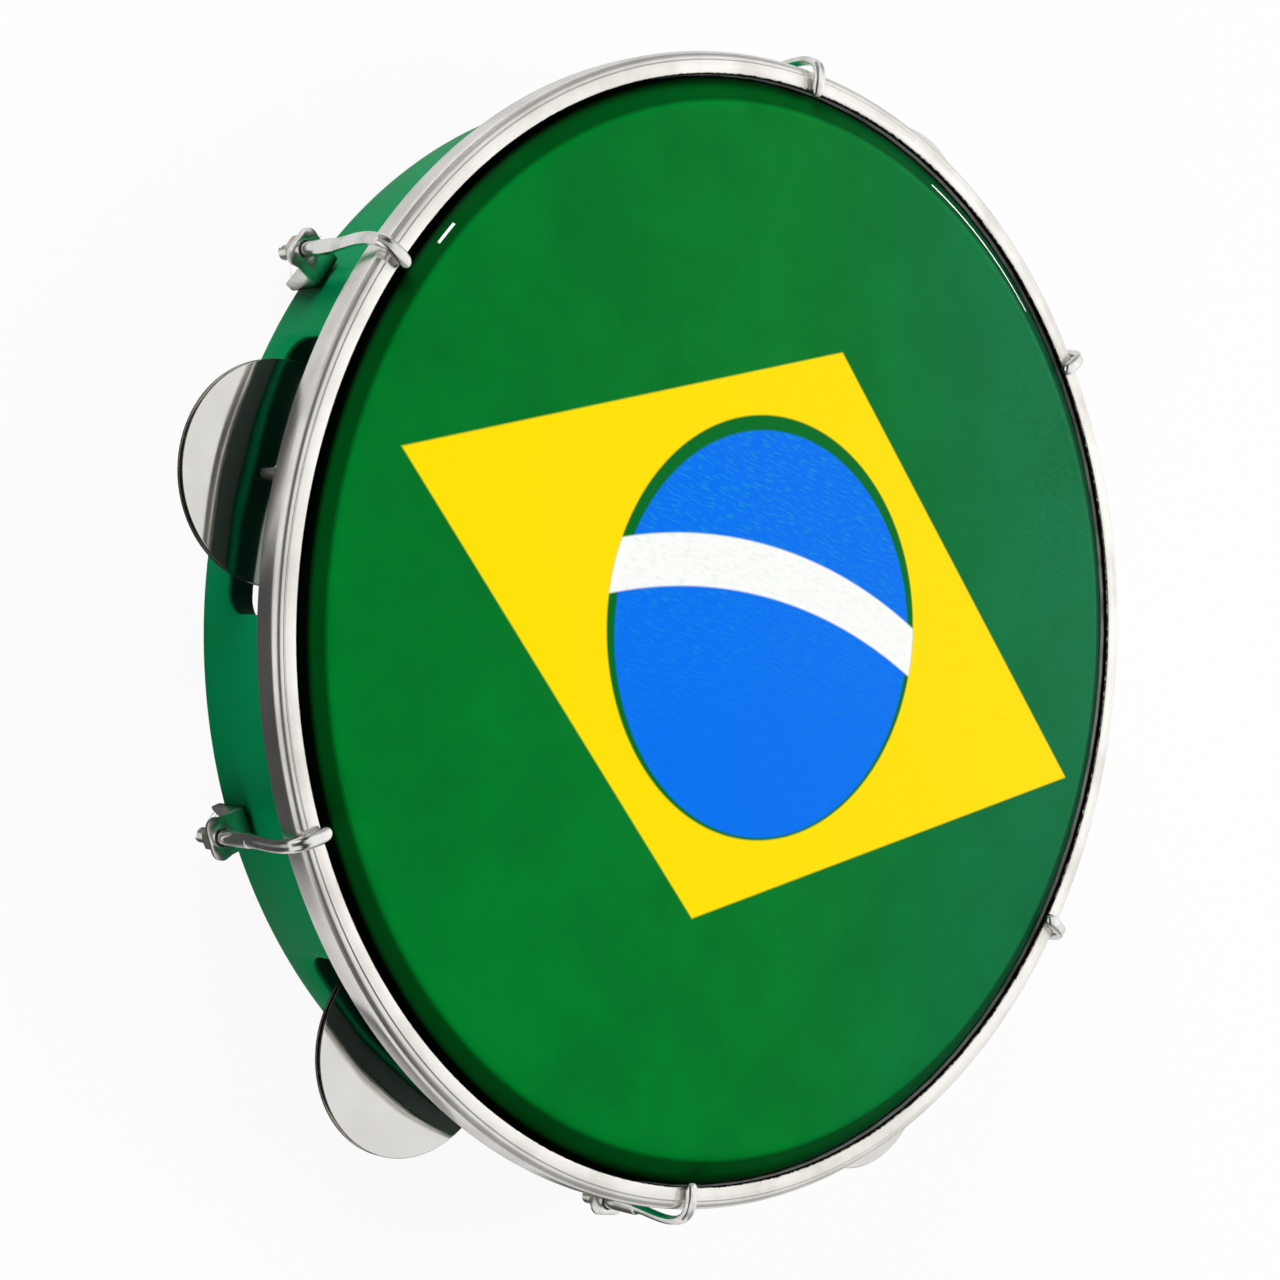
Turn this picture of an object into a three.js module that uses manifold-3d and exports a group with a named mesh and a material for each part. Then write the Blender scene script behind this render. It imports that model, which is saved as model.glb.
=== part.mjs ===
// Pandeiro: a frame drum with six tension hooks and five sets of jingles in slots of its shell.
// Millimetres, +Z up. The drum lies on the shell's back edge with the head on top.
import * as THREE from "three";
import { mergeVertices } from "three/addons/utils/BufferGeometryUtils.js";
import Module from "manifold-3d";

const wasm = await Module();
wasm.setup();

// Shared values
const fitGap = 0.3; // between pieces that touch on the real drum
const cutOverrun = 2; // how far every cutter runs past what it cuts
const weldDistance = 0.0001;
const ringSegments = 72;
const arcSteps = 1;
const fullTurn = 2 * Math.PI;
const quarterTurn = Math.PI / 2;

// Shell
const shellOuterRadius = 120.8;
const shellWall = 6;
const shellHeight = 35.8;
const backEdgeRounding = 0.9;
const bearingEdgeRounding = 0.8;
const crestInset = 1.2; // from the inner wall to the line where the bearing edge starts to fall
const crestFall = 3.1; // how much lower the outer wall ends than the crest
const shellInnerRadius = shellOuterRadius - shellWall;
const shellMiddleRadius = shellOuterRadius - shellWall / 2;
const crestRadius = shellInnerRadius + crestInset;
const crestSlope = crestFall / (shellOuterRadius - crestRadius);

// Jingle slots, with the first two where the picture shows them
const slotDegrees = [164.7, 227.4, 297, 358, 56.5];
const slotLength = 58;
const slotHeight = 16;
const slotFloor = 9;
const slotCornerRadius = 5;
const slotCeiling = slotFloor + slotHeight;

// Head: a printed film that slopes down from the crest, then runs down outside the shell and turns out
// under the flesh hoop
const skinThickness = 0.4;
const collarDepth = 7.4;
const headPlane = shellHeight + fitGap + skinThickness;
const collarInnerRadius = shellOuterRadius + fitGap;
const collarOuterRadius = collarInnerRadius + skinThickness;

// Flesh hoop
const fleshHoopWidth = 3.6;
const fleshHoopHeight = 3.8;
const fleshHoopRounding = 0.5;
const fleshHoopInnerRadius = collarOuterRadius + fitGap;
const fleshHoopOuterRadius = fleshHoopInnerRadius + fleshHoopWidth;
const fleshHoopBase = headPlane - collarDepth + fitGap;
const fleshHoopTop = fleshHoopBase + fleshHoopHeight;

// Counter hoop: a rolled sheet with an upright wall, a shallow valley and a flange turned inwards
const hoopSheet = 1.2;
const hoopHeight = 6.6;
const hoopFlange = 5.2;
const hoopCornerRadius = 1;
const hoopValleyDepth = 0.35;
const hoopValleyWidth = 0.9;
const hoopInnerRadius = fleshHoopOuterRadius + fitGap;
const hoopOuterRadius = hoopInnerRadius + hoopSheet;
const hoopLipRadius = hoopOuterRadius - hoopFlange;
const hoopTop = fleshHoopTop + fitGap + hoopSheet + hoopValleyDepth;
const hoopBase = hoopTop - hoopHeight;

// Tension hooks: a round threaded rod whose upper half is pressed flat and bent over the hoop
const hookDegrees = [82.3, 143.3, 198.8, 261.5, 325, 31.8];
const rodRadius = 1.6;
const rodSides = 12;
const rodTail = 4.4;
const kinkBelowHoopTop = 14.8;
const clawThickness = 2.2;
const clawWidth = 3.2;
const clawSteps = 14;
const clawTipInset = 0.3; // from the hoop's lip out to the middle of the claw's rounded tip
const rodAxisRadius = hoopOuterRadius + fitGap + rodRadius;
const kinkHeight = hoopTop - kinkBelowHoopTop;
const clawCrest = hoopTop + fitGap + clawThickness / 2;
const clawTipRadius = hoopLipRadius + clawTipInset;
// Places along the claw: the share of its reach over the hoop, and of its rise from kink to crest
const clawPathShares = [
  [0, -0.06],
  [0, 0.04],
  [-0.06, 0.25],
  [-0.13, 0.53],
  [-0.11, 0.77],
  [0.03, 0.93],
  [0.21, 0.99],
  [0.46, 1.02],
  [0.76, 1.02],
  [1, 1],
];

// Nuts
const nutAcrossFlats = 5.5;
const nutThickness = 2.6;
const nutBoreRadius = rodRadius + fitGap;

// Lugs: bent sheet, with a plate square to the rod, a base on the shell and a wing on each side
const lugSheet = 0.8;
const lugWidth = 9.2;
const lugPlateCorner = 2.4;
const lugPlateMargin = 3.1; // from the rod's axis to the plate's outer edge
const lugPlateFront = 10.5; // height of the plate's face on the head's side
const lugFootEnd = 0.9; // height of the lug's lower end above the back edge
const wingDrop = 0.9; // from the rod's axis down to where a wing leaves the plate
const wingFootDepth = 2.9; // how far a wing stands off the shell at its lower end
const lugBaseRadius = shellOuterRadius + fitGap;
const lugPlateBack = lugPlateFront - lugSheet;

// Rivets through the lug's base and the shell
const rivetShankRadius = 1.4;
const rivetHeadRadius = 2.6;
const rivetHeadHeight = 1.1;
const rivetSides = 12;
const rivetHoleRadius = rivetShankRadius + fitGap;
const rivetHeight = (lugFootEnd + lugPlateBack) / 2;

// Jingle pins
const pinRadius = 1.25;
const pinSides = 10;
const pinInset = 0.6; // the pin's lower end above the back edge
const pinHold = 3.6; // how far the pin reaches into the rail above the slot
const pinHoleRadius = pinRadius + fitGap;

// Jingles: two shallow cupped discs, rim to rim, with a flat damper disc loose between them
const jingleRadius = 22.8;
const jingleSheet = 0.45;
const jingleCup = 1;
const jingleBossRadius = 4;
const jingleHoleRadius = 2.2;
const jingleRimGap = 1;
const jingleSides = 24;
const jingleMiddle = 15.7; // height of the gap between the rims
const damperRadius = 15;
const damperThickness = 0.5;

// Materials, one for each kind of piece
const finish = {
  shell: { color: 0x0a7a50, roughness: 0.42, metalness: 0 },
  head: { color: 0x007a28, roughness: 0.35, metalness: 0 },
  fleshHoop: { color: 0xb8b8b8, roughness: 0.5, metalness: 0.9 },
  hoop: { color: 0xd8d5d0, roughness: 0.3, metalness: 1 },
  hook: { color: 0xe0e0de, roughness: 0.22, metalness: 1 },
  nut: { color: 0xa8a698, roughness: 0.5, metalness: 1 },
  lug: { color: 0xd4d4d2, roughness: 0.28, metalness: 1 },
  rivet: { color: 0xc8c8c8, roughness: 0.35, metalness: 1 },
  pin: { color: 0xbcbcbc, roughness: 0.35, metalness: 1 },
  jingle: { color: 0xe6e4e0, roughness: 0.08, metalness: 1 },
  damper: { color: 0xcfcdc8, roughness: 0.25, metalness: 1 },
};

// Helpers for solids

// A closed geometry as a solid that can be joined and cut
function solidOf(geometry) {
  const bare = geometry.clone();
  bare.deleteAttribute("normal");
  bare.deleteAttribute("uv");
  const welded = mergeVertices(bare, weldDistance);
  const mesh = new wasm.Mesh({
    numProp: 3,
    vertProperties: welded.getAttribute("position").array,
    triVerts: new Uint32Array(welded.index.array),
  });
  return new wasm.Manifold(mesh);
}

function geometryOf(solid) {
  const mesh = solid.getMesh();
  const geometry = new THREE.BufferGeometry();
  geometry.setAttribute("position", new THREE.BufferAttribute(mesh.vertProperties, mesh.numProp));
  geometry.setIndex(new THREE.BufferAttribute(mesh.triVerts, 1));
  geometry.computeVertexNormals();
  return geometry;
}

function joined(geometries) {
  return geometries.map(solidOf).reduce((whole, next) => whole.add(next));
}

function cutBy(solid, geometries) {
  return geometries.map(solidOf).reduce((whole, next) => whole.subtract(next), solid);
}

// A profile of radius and height, turned round the vertical axis
function turned(profile, sides) {
  return new THREE.LatheGeometry(profile, sides).rotateX(quarterTurn);
}

function uprightCylinder(radius, low, high, sides) {
  const cylinder = new THREE.CylinderGeometry(radius, radius, high - low, sides);
  return cylinder.rotateX(quarterTurn).translate(0, 0, (low + high) / 2);
}

function named(name, geometry, look) {
  const mesh = new THREE.Mesh(geometry, new THREE.MeshStandardMaterial(look));
  mesh.name = name;
  return mesh;
}

// A group that is turned to a place on the ring, so that its own +X points away from the drum's axis
function stationAt(degrees) {
  const station = new THREE.Group();
  station.rotation.z = THREE.MathUtils.degToRad(degrees);
  return station;
}

// Sections of the rings, counter-clockwise in radius and height

function shellSection() {
  const section = new THREE.Path();
  const back = backEdgeRounding;
  const round = bearingEdgeRounding;
  section.moveTo(shellInnerRadius + back, 0);
  section.lineTo(shellOuterRadius - back, 0);
  section.absarc(shellOuterRadius - back, back, back, -quarterTurn, 0);
  section.lineTo(shellOuterRadius, shellHeight - crestFall);
  section.lineTo(crestRadius, shellHeight);
  section.lineTo(shellInnerRadius + round, shellHeight);
  section.absarc(shellInnerRadius + round, shellHeight - round, round, quarterTurn, 2 * quarterTurn);
  section.lineTo(shellInnerRadius, back);
  section.absarc(shellInnerRadius + back, back, back, 2 * quarterTurn, 3 * quarterTurn);
  return section.getPoints(arcSteps);
}

function headSection() {
  const section = new THREE.Path();
  const tuckTop = headPlane - collarDepth;
  const tuckBase = tuckTop - skinThickness;
  const underside = headPlane - skinThickness;
  section.moveTo(0, underside);
  section.lineTo(crestRadius, underside);
  section.lineTo(collarInnerRadius, underside - (collarInnerRadius - crestRadius) * crestSlope);
  section.lineTo(collarInnerRadius, tuckBase);
  section.lineTo(fleshHoopOuterRadius, tuckBase);
  section.lineTo(fleshHoopOuterRadius, tuckTop);
  section.lineTo(collarOuterRadius, tuckTop);
  section.lineTo(collarOuterRadius, headPlane - (collarOuterRadius - crestRadius) * crestSlope);
  section.lineTo(crestRadius, headPlane);
  section.lineTo(0, headPlane);
  return section.getPoints(arcSteps);
}

function fleshHoopSection() {
  const section = new THREE.Path();
  const round = fleshHoopRounding;
  section.moveTo(fleshHoopInnerRadius, fleshHoopBase);
  section.lineTo(fleshHoopOuterRadius, fleshHoopBase);
  section.lineTo(fleshHoopOuterRadius, fleshHoopTop - round);
  section.lineTo(fleshHoopOuterRadius - round, fleshHoopTop);
  section.lineTo(fleshHoopInnerRadius + round, fleshHoopTop);
  section.lineTo(fleshHoopInnerRadius, fleshHoopTop - round);
  section.closePath();
  return section.getPoints(arcSteps);
}

function hoopSection() {
  const section = new THREE.Path();
  const corner = hoopCornerRadius;
  const valleyMiddle = hoopOuterRadius - corner - hoopValleyWidth / 2;
  const flangeStart = valleyMiddle - hoopValleyWidth / 2;
  const under = hoopTop - hoopValleyDepth - hoopSheet;
  const lipRound = (hoopTop - under) / 2;
  const lipMiddle = hoopLipRadius + lipRound;
  section.moveTo(hoopInnerRadius, hoopBase);
  section.lineTo(hoopOuterRadius, hoopBase);
  section.lineTo(hoopOuterRadius, hoopTop - corner);
  section.absarc(hoopOuterRadius - corner, hoopTop - corner, corner, 0, quarterTurn);
  section.lineTo(valleyMiddle, hoopTop - hoopValleyDepth);
  section.lineTo(flangeStart, hoopTop);
  section.lineTo(lipMiddle, hoopTop);
  section.absarc(lipMiddle, hoopTop - lipRound, lipRound, quarterTurn, 2 * quarterTurn);
  section.absarc(lipMiddle, hoopTop - lipRound, lipRound, 2 * quarterTurn, 3 * quarterTurn);
  section.lineTo(hoopInnerRadius, under);
  section.closePath();
  return section.getPoints(arcSteps);
}

// Shell

// One jingle slot's cutter: a rounded rectangle that runs outwards through the wall
function slotCutter() {
  const outline = new THREE.Shape();
  const half = slotLength / 2;
  const round = slotCornerRadius;
  outline.moveTo(-half + round, slotFloor);
  outline.lineTo(half - round, slotFloor);
  outline.absarc(half - round, slotFloor + round, round, -quarterTurn, 0);
  outline.lineTo(half, slotCeiling - round);
  outline.absarc(half - round, slotCeiling - round, round, 0, quarterTurn);
  outline.lineTo(-half + round, slotCeiling);
  outline.absarc(-half + round, slotCeiling - round, round, quarterTurn, 2 * quarterTurn);
  outline.lineTo(-half, slotFloor + round);
  outline.absarc(-half + round, slotFloor + round, round, 2 * quarterTurn, 3 * quarterTurn);
  const innerEnd = Math.sqrt(shellInnerRadius ** 2 - half ** 2) - cutOverrun;
  const depth = shellOuterRadius + cutOverrun - innerEnd;
  const cutter = new THREE.ExtrudeGeometry(outline, { depth, bevelEnabled: false, curveSegments: 2 * arcSteps });
  // The outline's width becomes tangential, its height stays upright and its depth becomes radial
  return cutter.rotateX(quarterTurn).rotateZ(quarterTurn).translate(innerEnd, 0, 0);
}

function pinHoleCutter() {
  const hole = uprightCylinder(pinHoleRadius, -cutOverrun, slotCeiling + pinHold + fitGap, pinSides);
  return hole.translate(shellMiddleRadius, 0, 0);
}

function rivetHoleCutter() {
  const inner = shellInnerRadius - cutOverrun;
  const outer = shellOuterRadius + cutOverrun;
  const hole = new THREE.CylinderGeometry(rivetHoleRadius, rivetHoleRadius, outer - inner, rivetSides);
  return hole.rotateZ(quarterTurn).translate((inner + outer) / 2, 0, rivetHeight);
}

function turnedTo(geometry, degrees) {
  return geometry.rotateZ(THREE.MathUtils.degToRad(degrees));
}

function makeShell() {
  const ring = solidOf(turned(shellSection(), ringSegments));
  const cutters = [
    ...slotDegrees.map((degrees) => turnedTo(slotCutter(), degrees)),
    ...slotDegrees.map((degrees) => turnedTo(pinHoleCutter(), degrees)),
    ...hookDegrees.map((degrees) => turnedTo(rivetHoleCutter(), degrees)),
  ];
  return geometryOf(cutBy(ring, cutters));
}

// Tension hook

// The pressed section, wide across the hook's bend and thin along it
function clawSection() {
  const section = new THREE.Shape();
  const round = clawThickness / 2;
  const flat = clawWidth / 2 - round;
  section.absarc(flat, 0, round, -quarterTurn, quarterTurn);
  section.absarc(-flat, 0, round, quarterTurn, 3 * quarterTurn);
  return section;
}

function clawPath() {
  const reach = rodAxisRadius - clawTipRadius;
  const rise = clawCrest - kinkHeight;
  const points = clawPathShares.map(
    ([reachShare, riseShare]) =>
      new THREE.Vector3(rodAxisRadius - reachShare * reach, 0, kinkHeight + riseShare * rise),
  );
  return new THREE.CatmullRomCurve3(points, false, "centripetal");
}

function clawTip(path) {
  const round = clawWidth / 2;
  const tip = new THREE.CylinderGeometry(round, round, clawThickness, rodSides);
  const place = path.getPoint(1);
  const along = path.getTangent(1);
  tip.rotateX(quarterTurn).rotateY(Math.atan2(-along.z, along.x));
  return tip.translate(place.x, place.y, place.z);
}

function makeHook() {
  const rodBase = lugPlateBack - fitGap - nutThickness - rodTail;
  const rod = uprightCylinder(rodRadius, rodBase, kinkHeight, rodSides).translate(rodAxisRadius, 0, 0);
  const path = clawPath();
  const claw = new THREE.ExtrudeGeometry(clawSection(), {
    steps: clawSteps,
    extrudePath: path,
    bevelEnabled: false,
    curveSegments: arcSteps,
  });
  return geometryOf(joined([rod, claw, clawTip(path)]));
}

// Nut

function makeNut() {
  const outline = new THREE.Shape();
  const cornerRadius = nutAcrossFlats / Math.sqrt(3);
  const corners = Array.from({ length: 6 }, (_, corner) => {
    const angle = (corner * fullTurn) / 6;
    return new THREE.Vector2(cornerRadius * Math.cos(angle), cornerRadius * Math.sin(angle));
  });
  outline.setFromPoints(corners);
  const bore = new THREE.Path();
  bore.absarc(0, 0, nutBoreRadius, 0, fullTurn, true);
  outline.holes.push(bore);
  const nut = new THREE.ExtrudeGeometry(outline, {
    depth: nutThickness,
    bevelEnabled: false,
    curveSegments: rodSides / 2,
  });
  nut.translate(rodAxisRadius, 0, lugPlateBack - fitGap - nutThickness);
  return geometryOf(solidOf(nut));
}

// Lug

// The plate square to the rod: its lower edge stands on the base, its outer corners are round
function lugPlate() {
  const outline = new THREE.Shape();
  const half = lugWidth / 2;
  const outer = rodAxisRadius + lugPlateMargin;
  const round = lugPlateCorner;
  outline.moveTo(lugBaseRadius, -half);
  outline.lineTo(outer - round, -half);
  outline.absarc(outer - round, -half + round, round, -quarterTurn, 0);
  outline.lineTo(outer, half - round);
  outline.absarc(outer - round, half - round, round, 0, quarterTurn);
  outline.lineTo(lugBaseRadius, half);
  const hole = new THREE.Path();
  hole.absarc(rodAxisRadius, 0, rodRadius + fitGap, 0, fullTurn, true);
  outline.holes.push(hole);
  const plate = new THREE.ExtrudeGeometry(outline, {
    depth: lugSheet,
    bevelEnabled: false,
    curveSegments: rodSides / 2,
  });
  return plate.translate(0, 0, lugPlateBack);
}

// One wing: a side that narrows from the plate down to the far end of the base
function lugWing(side) {
  const outline = new THREE.Shape();
  outline.moveTo(lugBaseRadius, lugFootEnd);
  outline.lineTo(lugBaseRadius + wingFootDepth, lugFootEnd);
  outline.lineTo(rodAxisRadius - wingDrop, lugPlateBack);
  outline.lineTo(rodAxisRadius - wingDrop, lugPlateFront);
  outline.lineTo(lugBaseRadius, lugPlateFront);
  const wing = new THREE.ExtrudeGeometry(outline, { depth: lugSheet, bevelEnabled: false });
  const inner = lugWidth / 2 - lugSheet;
  wing.rotateX(quarterTurn).translate(0, lugSheet, 0);
  return wing.translate(0, side > 0 ? inner : -inner - lugSheet, 0);
}

function lugBase() {
  const length = lugPlateFront - lugFootEnd;
  const base = new THREE.BoxGeometry(lugSheet, lugWidth, length);
  return base.translate(lugBaseRadius + lugSheet / 2, 0, lugFootEnd + length / 2);
}

function makeLug() {
  const sheet = joined([lugBase(), lugPlate(), lugWing(1), lugWing(-1)]);
  return geometryOf(cutBy(sheet, [rivetHoleCutter()]));
}

// Rivet

function makeRivet() {
  const outerSeat = lugBaseRadius + lugSheet + fitGap;
  const innerSeat = shellInnerRadius - fitGap;
  const outerTop = outerSeat + rivetHeadHeight;
  const innerTop = innerSeat - rivetHeadHeight;
  const profile = new THREE.Path();
  profile.moveTo(0, innerTop);
  profile.lineTo(rivetHeadRadius, innerTop);
  profile.lineTo(rivetHeadRadius, innerSeat);
  profile.lineTo(rivetShankRadius, innerSeat);
  profile.lineTo(rivetShankRadius, outerSeat);
  profile.lineTo(rivetHeadRadius, outerSeat);
  profile.quadraticCurveTo(rivetHeadRadius, outerTop, 0, outerTop);
  // The profile's height runs outwards from the drum's axis
  const rivet = new THREE.LatheGeometry(profile.getPoints(arcSteps), rivetSides);
  return geometryOf(solidOf(rivet.rotateZ(-quarterTurn).translate(0, 0, rivetHeight)));
}

// Jingle set

function makePin() {
  const pin = uprightCylinder(pinRadius, pinInset, slotCeiling + pinHold, pinSides);
  return geometryOf(solidOf(pin.translate(shellMiddleRadius, 0, 0)));
}

// The cup's inner face: its height above the boss at a distance from the pin
function cupHeight(radius) {
  return (jingleCup * (radius - jingleBossRadius)) / (jingleRadius - jingleBossRadius);
}

// A cupped disc that opens upwards, with its boss's upper face at height zero
function cupProfile() {
  const profile = new THREE.Path();
  profile.moveTo(jingleHoleRadius, -jingleSheet);
  profile.lineTo(jingleBossRadius, -jingleSheet);
  profile.lineTo(jingleRadius, jingleCup - jingleSheet);
  profile.lineTo(jingleRadius, jingleCup);
  profile.lineTo(jingleBossRadius, 0);
  profile.lineTo(jingleHoleRadius, 0);
  profile.closePath();
  return profile.getPoints(arcSteps);
}

function makeLowerJingle() {
  const cup = turned(cupProfile(), jingleSides);
  cup.translate(shellMiddleRadius, 0, jingleMiddle - jingleRimGap / 2 - jingleCup);
  return geometryOf(solidOf(cup));
}

function makeUpperJingle() {
  const cup = turned(cupProfile(), jingleSides).rotateX(2 * quarterTurn);
  cup.translate(shellMiddleRadius, 0, jingleMiddle + jingleRimGap / 2 + jingleCup);
  return geometryOf(solidOf(cup));
}

function makeDamper() {
  const outline = new THREE.Shape();
  outline.absarc(0, 0, damperRadius, 0, fullTurn);
  const hole = new THREE.Path();
  hole.absarc(0, 0, jingleHoleRadius, 0, fullTurn, true);
  outline.holes.push(hole);
  const disc = new THREE.ExtrudeGeometry(outline, {
    depth: damperThickness,
    bevelEnabled: false,
    curveSegments: jingleSides / 2,
  });
  const cupFloor = jingleMiddle - jingleRimGap / 2 - jingleCup;
  disc.translate(shellMiddleRadius, 0, cupFloor + cupHeight(damperRadius) + fitGap);
  return geometryOf(solidOf(disc));
}

// Assembly

const drum = new THREE.Group();
drum.add(
  named("shell", makeShell(), finish.shell),
  named("head", geometryOf(solidOf(turned(headSection(), ringSegments))), finish.head),
  named("flesh_hoop", geometryOf(solidOf(turned(fleshHoopSection(), ringSegments))), finish.fleshHoop),
  named("counter_hoop", geometryOf(solidOf(turned(hoopSection(), ringSegments))), finish.hoop),
);

hookDegrees.forEach((degrees, index) => {
  const station = stationAt(degrees);
  const number = index + 1;
  station.add(
    named(`hook_${number}`, makeHook(), finish.hook),
    named(`nut_${number}`, makeNut(), finish.nut),
    named(`lug_${number}`, makeLug(), finish.lug),
    named(`rivet_${number}`, makeRivet(), finish.rivet),
  );
  drum.add(station);
});

slotDegrees.forEach((degrees, index) => {
  const station = stationAt(degrees);
  const number = index + 1;
  station.add(
    named(`pin_${number}`, makePin(), finish.pin),
    named(`jingle_lower_${number}`, makeLowerJingle(), finish.jingle),
    named(`damper_${number}`, makeDamper(), finish.damper),
    named(`jingle_upper_${number}`, makeUpperJingle(), finish.jingle),
  );
  drum.add(station);
});

// The origin is under the middle of the whole part, so the drum's axis stands a little to one side of it
const space = new THREE.Box3().setFromObject(drum, true);
const middle = space.getCenter(new THREE.Vector3());
drum.position.set(-middle.x, -middle.y, 0);

const pandeiro = new THREE.Group();
pandeiro.add(drum);

export default pandeiro;
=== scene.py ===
import math

import bmesh
import bpy
from mathutils import Matrix, Vector


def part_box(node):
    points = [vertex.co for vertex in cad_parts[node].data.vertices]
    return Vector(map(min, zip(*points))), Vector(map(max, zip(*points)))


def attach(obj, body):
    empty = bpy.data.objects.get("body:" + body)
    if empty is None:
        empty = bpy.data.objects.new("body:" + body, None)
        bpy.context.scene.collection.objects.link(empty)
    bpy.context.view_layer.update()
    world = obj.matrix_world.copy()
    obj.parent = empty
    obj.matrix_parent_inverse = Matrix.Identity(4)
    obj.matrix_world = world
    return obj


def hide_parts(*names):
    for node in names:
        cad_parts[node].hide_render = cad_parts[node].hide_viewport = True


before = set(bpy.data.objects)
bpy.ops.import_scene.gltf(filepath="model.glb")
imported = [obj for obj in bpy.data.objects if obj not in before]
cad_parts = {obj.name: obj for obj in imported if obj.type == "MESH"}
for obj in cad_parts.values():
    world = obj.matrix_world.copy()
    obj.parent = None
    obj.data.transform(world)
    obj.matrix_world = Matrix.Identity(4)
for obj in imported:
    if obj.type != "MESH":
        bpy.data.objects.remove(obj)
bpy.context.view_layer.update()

# Pandeiro: a frame drum on its back edge, with a printed head, a nickel counter hoop held by six hooks,
# and five pairs of jingles. Shapes are made in millimetres and placed in metres.

MM = 0.001
WELD = 0.0001
PARALLEL = 0.99  # the cosine past which two directions count as one
ROUND_STEPS = 32  # sides of pins, rivets and small round holes

# The drum's axis stands where the counter hoop's does, and the photograph's camera was fitted to the hoop
hoop_box = [Vector(corner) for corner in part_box("counter_hoop")]
AXIS = Vector(((hoop_box[0].x + hoop_box[1].x) / 2, (hoop_box[0].y + hoop_box[1].y) / 2, 0))
HOOP_MIDDLE = AXIS + Vector((0, 0, hoop_box[1].z))

# Camera
CAMERA_PLACE = Vector((-440.3, 6.0, 457.9))  # from the middle of the hoop's top
CAMERA_RIGHT = Vector((0.7478, 0.0113, 0.6638))
CAMERA_UP = Vector((0, 0.9999, -0.0170))
CAMERA_LENS = 80.99
CAMERA_SENSOR = 36

# Rings
RING_STEPS = 288
SHELL_OUTER = 120.8
SHELL_INNER = 114.8
SHELL_MIDDLE = (SHELL_OUTER + SHELL_INNER) / 2
SHELL_HEIGHT = 35.8
BACK_ROUNDING = 0.9
CREST_ROUNDING = 0.8
CREST_RADIUS = SHELL_INNER + 1.2
CREST_FALL = 3.1
CREST_POINTS = ((0.6, 0.5), (-0.1, 0.12))  # outside the crest's radius, and below the shell's top
CREST_SPARE = 0.3  # how far the wood stays under the film at the drum's outside
FILM_TOP = 36.5
FILM = 0.25
FILM_BEND = 6  # radius of the film's bend over the crest
FLAT_RINGS = (60, 110)  # rings of corners on the film's flat
COLLAR_RADIUS = 121.35
# Corners of the film's bend into the collar, outside and inside, from the collar's radius and top
COLLAR_OUTSIDE = ((-0.5, 0.3), (0, -0.4))
COLLAR_INSIDE = ((-FILM, -0.55), (-0.6, 0.05))
TUCK_RADIUS = 125.4
TUCK_HEIGHT = 29
HOOP_OUTER = 126.9
HOOP_LIP = 121.7
HOOP_TOP = 35.05
HOOP_BASE = 28.45
HOOP_SHEET = 1.2
HOOP_SHOULDER = 1.9
SHOULDER_DROP = 0.25  # how far the shoulder's top is below the lip's
HOOP_EDGE = 0.4
LIP_ROUNDING = 0.75
LIP_FOOT = (1.1, 0.1)  # where the lip's underside ends, outside the lip and below the flange
FLANGE_FALL = 0.35  # at the inside of the wall
HOOP_BEAD = 0.2
BEAD_INSET = 0.15  # from the shoulder's middle
BEAD_FOOT = (0.08, 0.02)  # outside the bead and below it

# Jingle slots
SLOT_DEGREES = (164.7, 227.4, 297, 358, 56.5)
SLOT_LENGTH = 58
SLOT_FLOOR = 9
SLOT_CEILING = 25
SLOT_CORNER = 5
SLOT_CUTTER = 24  # how far the cutter reaches along the drum's radius
CUTTER_SHIFT = 4  # towards the drum's axis
PIN_RADIUS = 1.25
PIN_CLEARANCE = 0.12
PIN_CHAMFER = 0.25
PIN_LOW = 0.6
PIN_HIGH = 28.6
PIN_HOLE_LOW = -2.2
PIN_HOLE_HIGH = PIN_HIGH + 0.2
JINGLE_RADIUS = 22.8
JINGLE_SHEET = 0.45
JINGLE_CUP = 1
JINGLE_BOSS = 4
JINGLE_HOLE = 2.2
JINGLE_STEPS = 96
JINGLE_MIDDLE = 15.7
JINGLE_GAP = 1
RIM_SLOPE = 0.8  # a jingle's face is on its sheared rim where its normal's height is less
DAMPER_RADIUS = 15
DAMPER_SHEET = 0.5
DAMPER_GAP = 0.3  # over the lower cup
DAMPER_HOLE_ROUNDING = 0.1

# Hooks, nuts, lugs and rivets
HOOK_DEGREES = (82.3, 143.3, 198.8, 261.5, 325, 31.8)
ROD_AXIS = 128.8
ROD_RADIUS = 1.6
ROD_LOW = 2.4
THREAD_TOP = 9.2
THREAD_PITCH = 0.635
THREAD_DEPTH = 0.28
THREAD_STEPS = 24
THREAD_WELD = 0.001
THREAD_FLAT = (0.42, 0.58)  # the shares of the pitch between which the ridge is flat
THREAD_OVERLAP = 0.02  # how far the core reaches into the ridge
ROD_POINT = 0.25  # how much the rod narrows to its end
NUT_FLATS = 5.5
NUT_LOW = 6.8
NUT_HIGH = 9.4
NUT_BORE = 1.78
NUT_CHAMFER = 0.35
NUT_SPARE = 0.05  # how far the chamfering solid stands outside the corners
NUT_MOUTH = 0.8  # how much the bore's cutter widens at each face of the nut
MOUTH_DEPTH = 0.3  # where that starts, inside the face
MOUTH_OUTSIDE = 0.5  # where it ends, outside the face
LUG_BASE = 121.1
LUG_SHEET = 0.8
LUG_WIDTH = 9.2
LUG_OUTER = 131.9
LUG_CORNER = 2.4
LUG_TOP = 10.5
LUG_FOOT = 0.9
LUG_BEND = 0.7
LUG_HOLE_CLEARANCE = 0.3
LUG_CUTTER = 4
WING_END = ROD_AXIS - 0.9
WING_FOOT = LUG_BASE + 2.9
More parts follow.
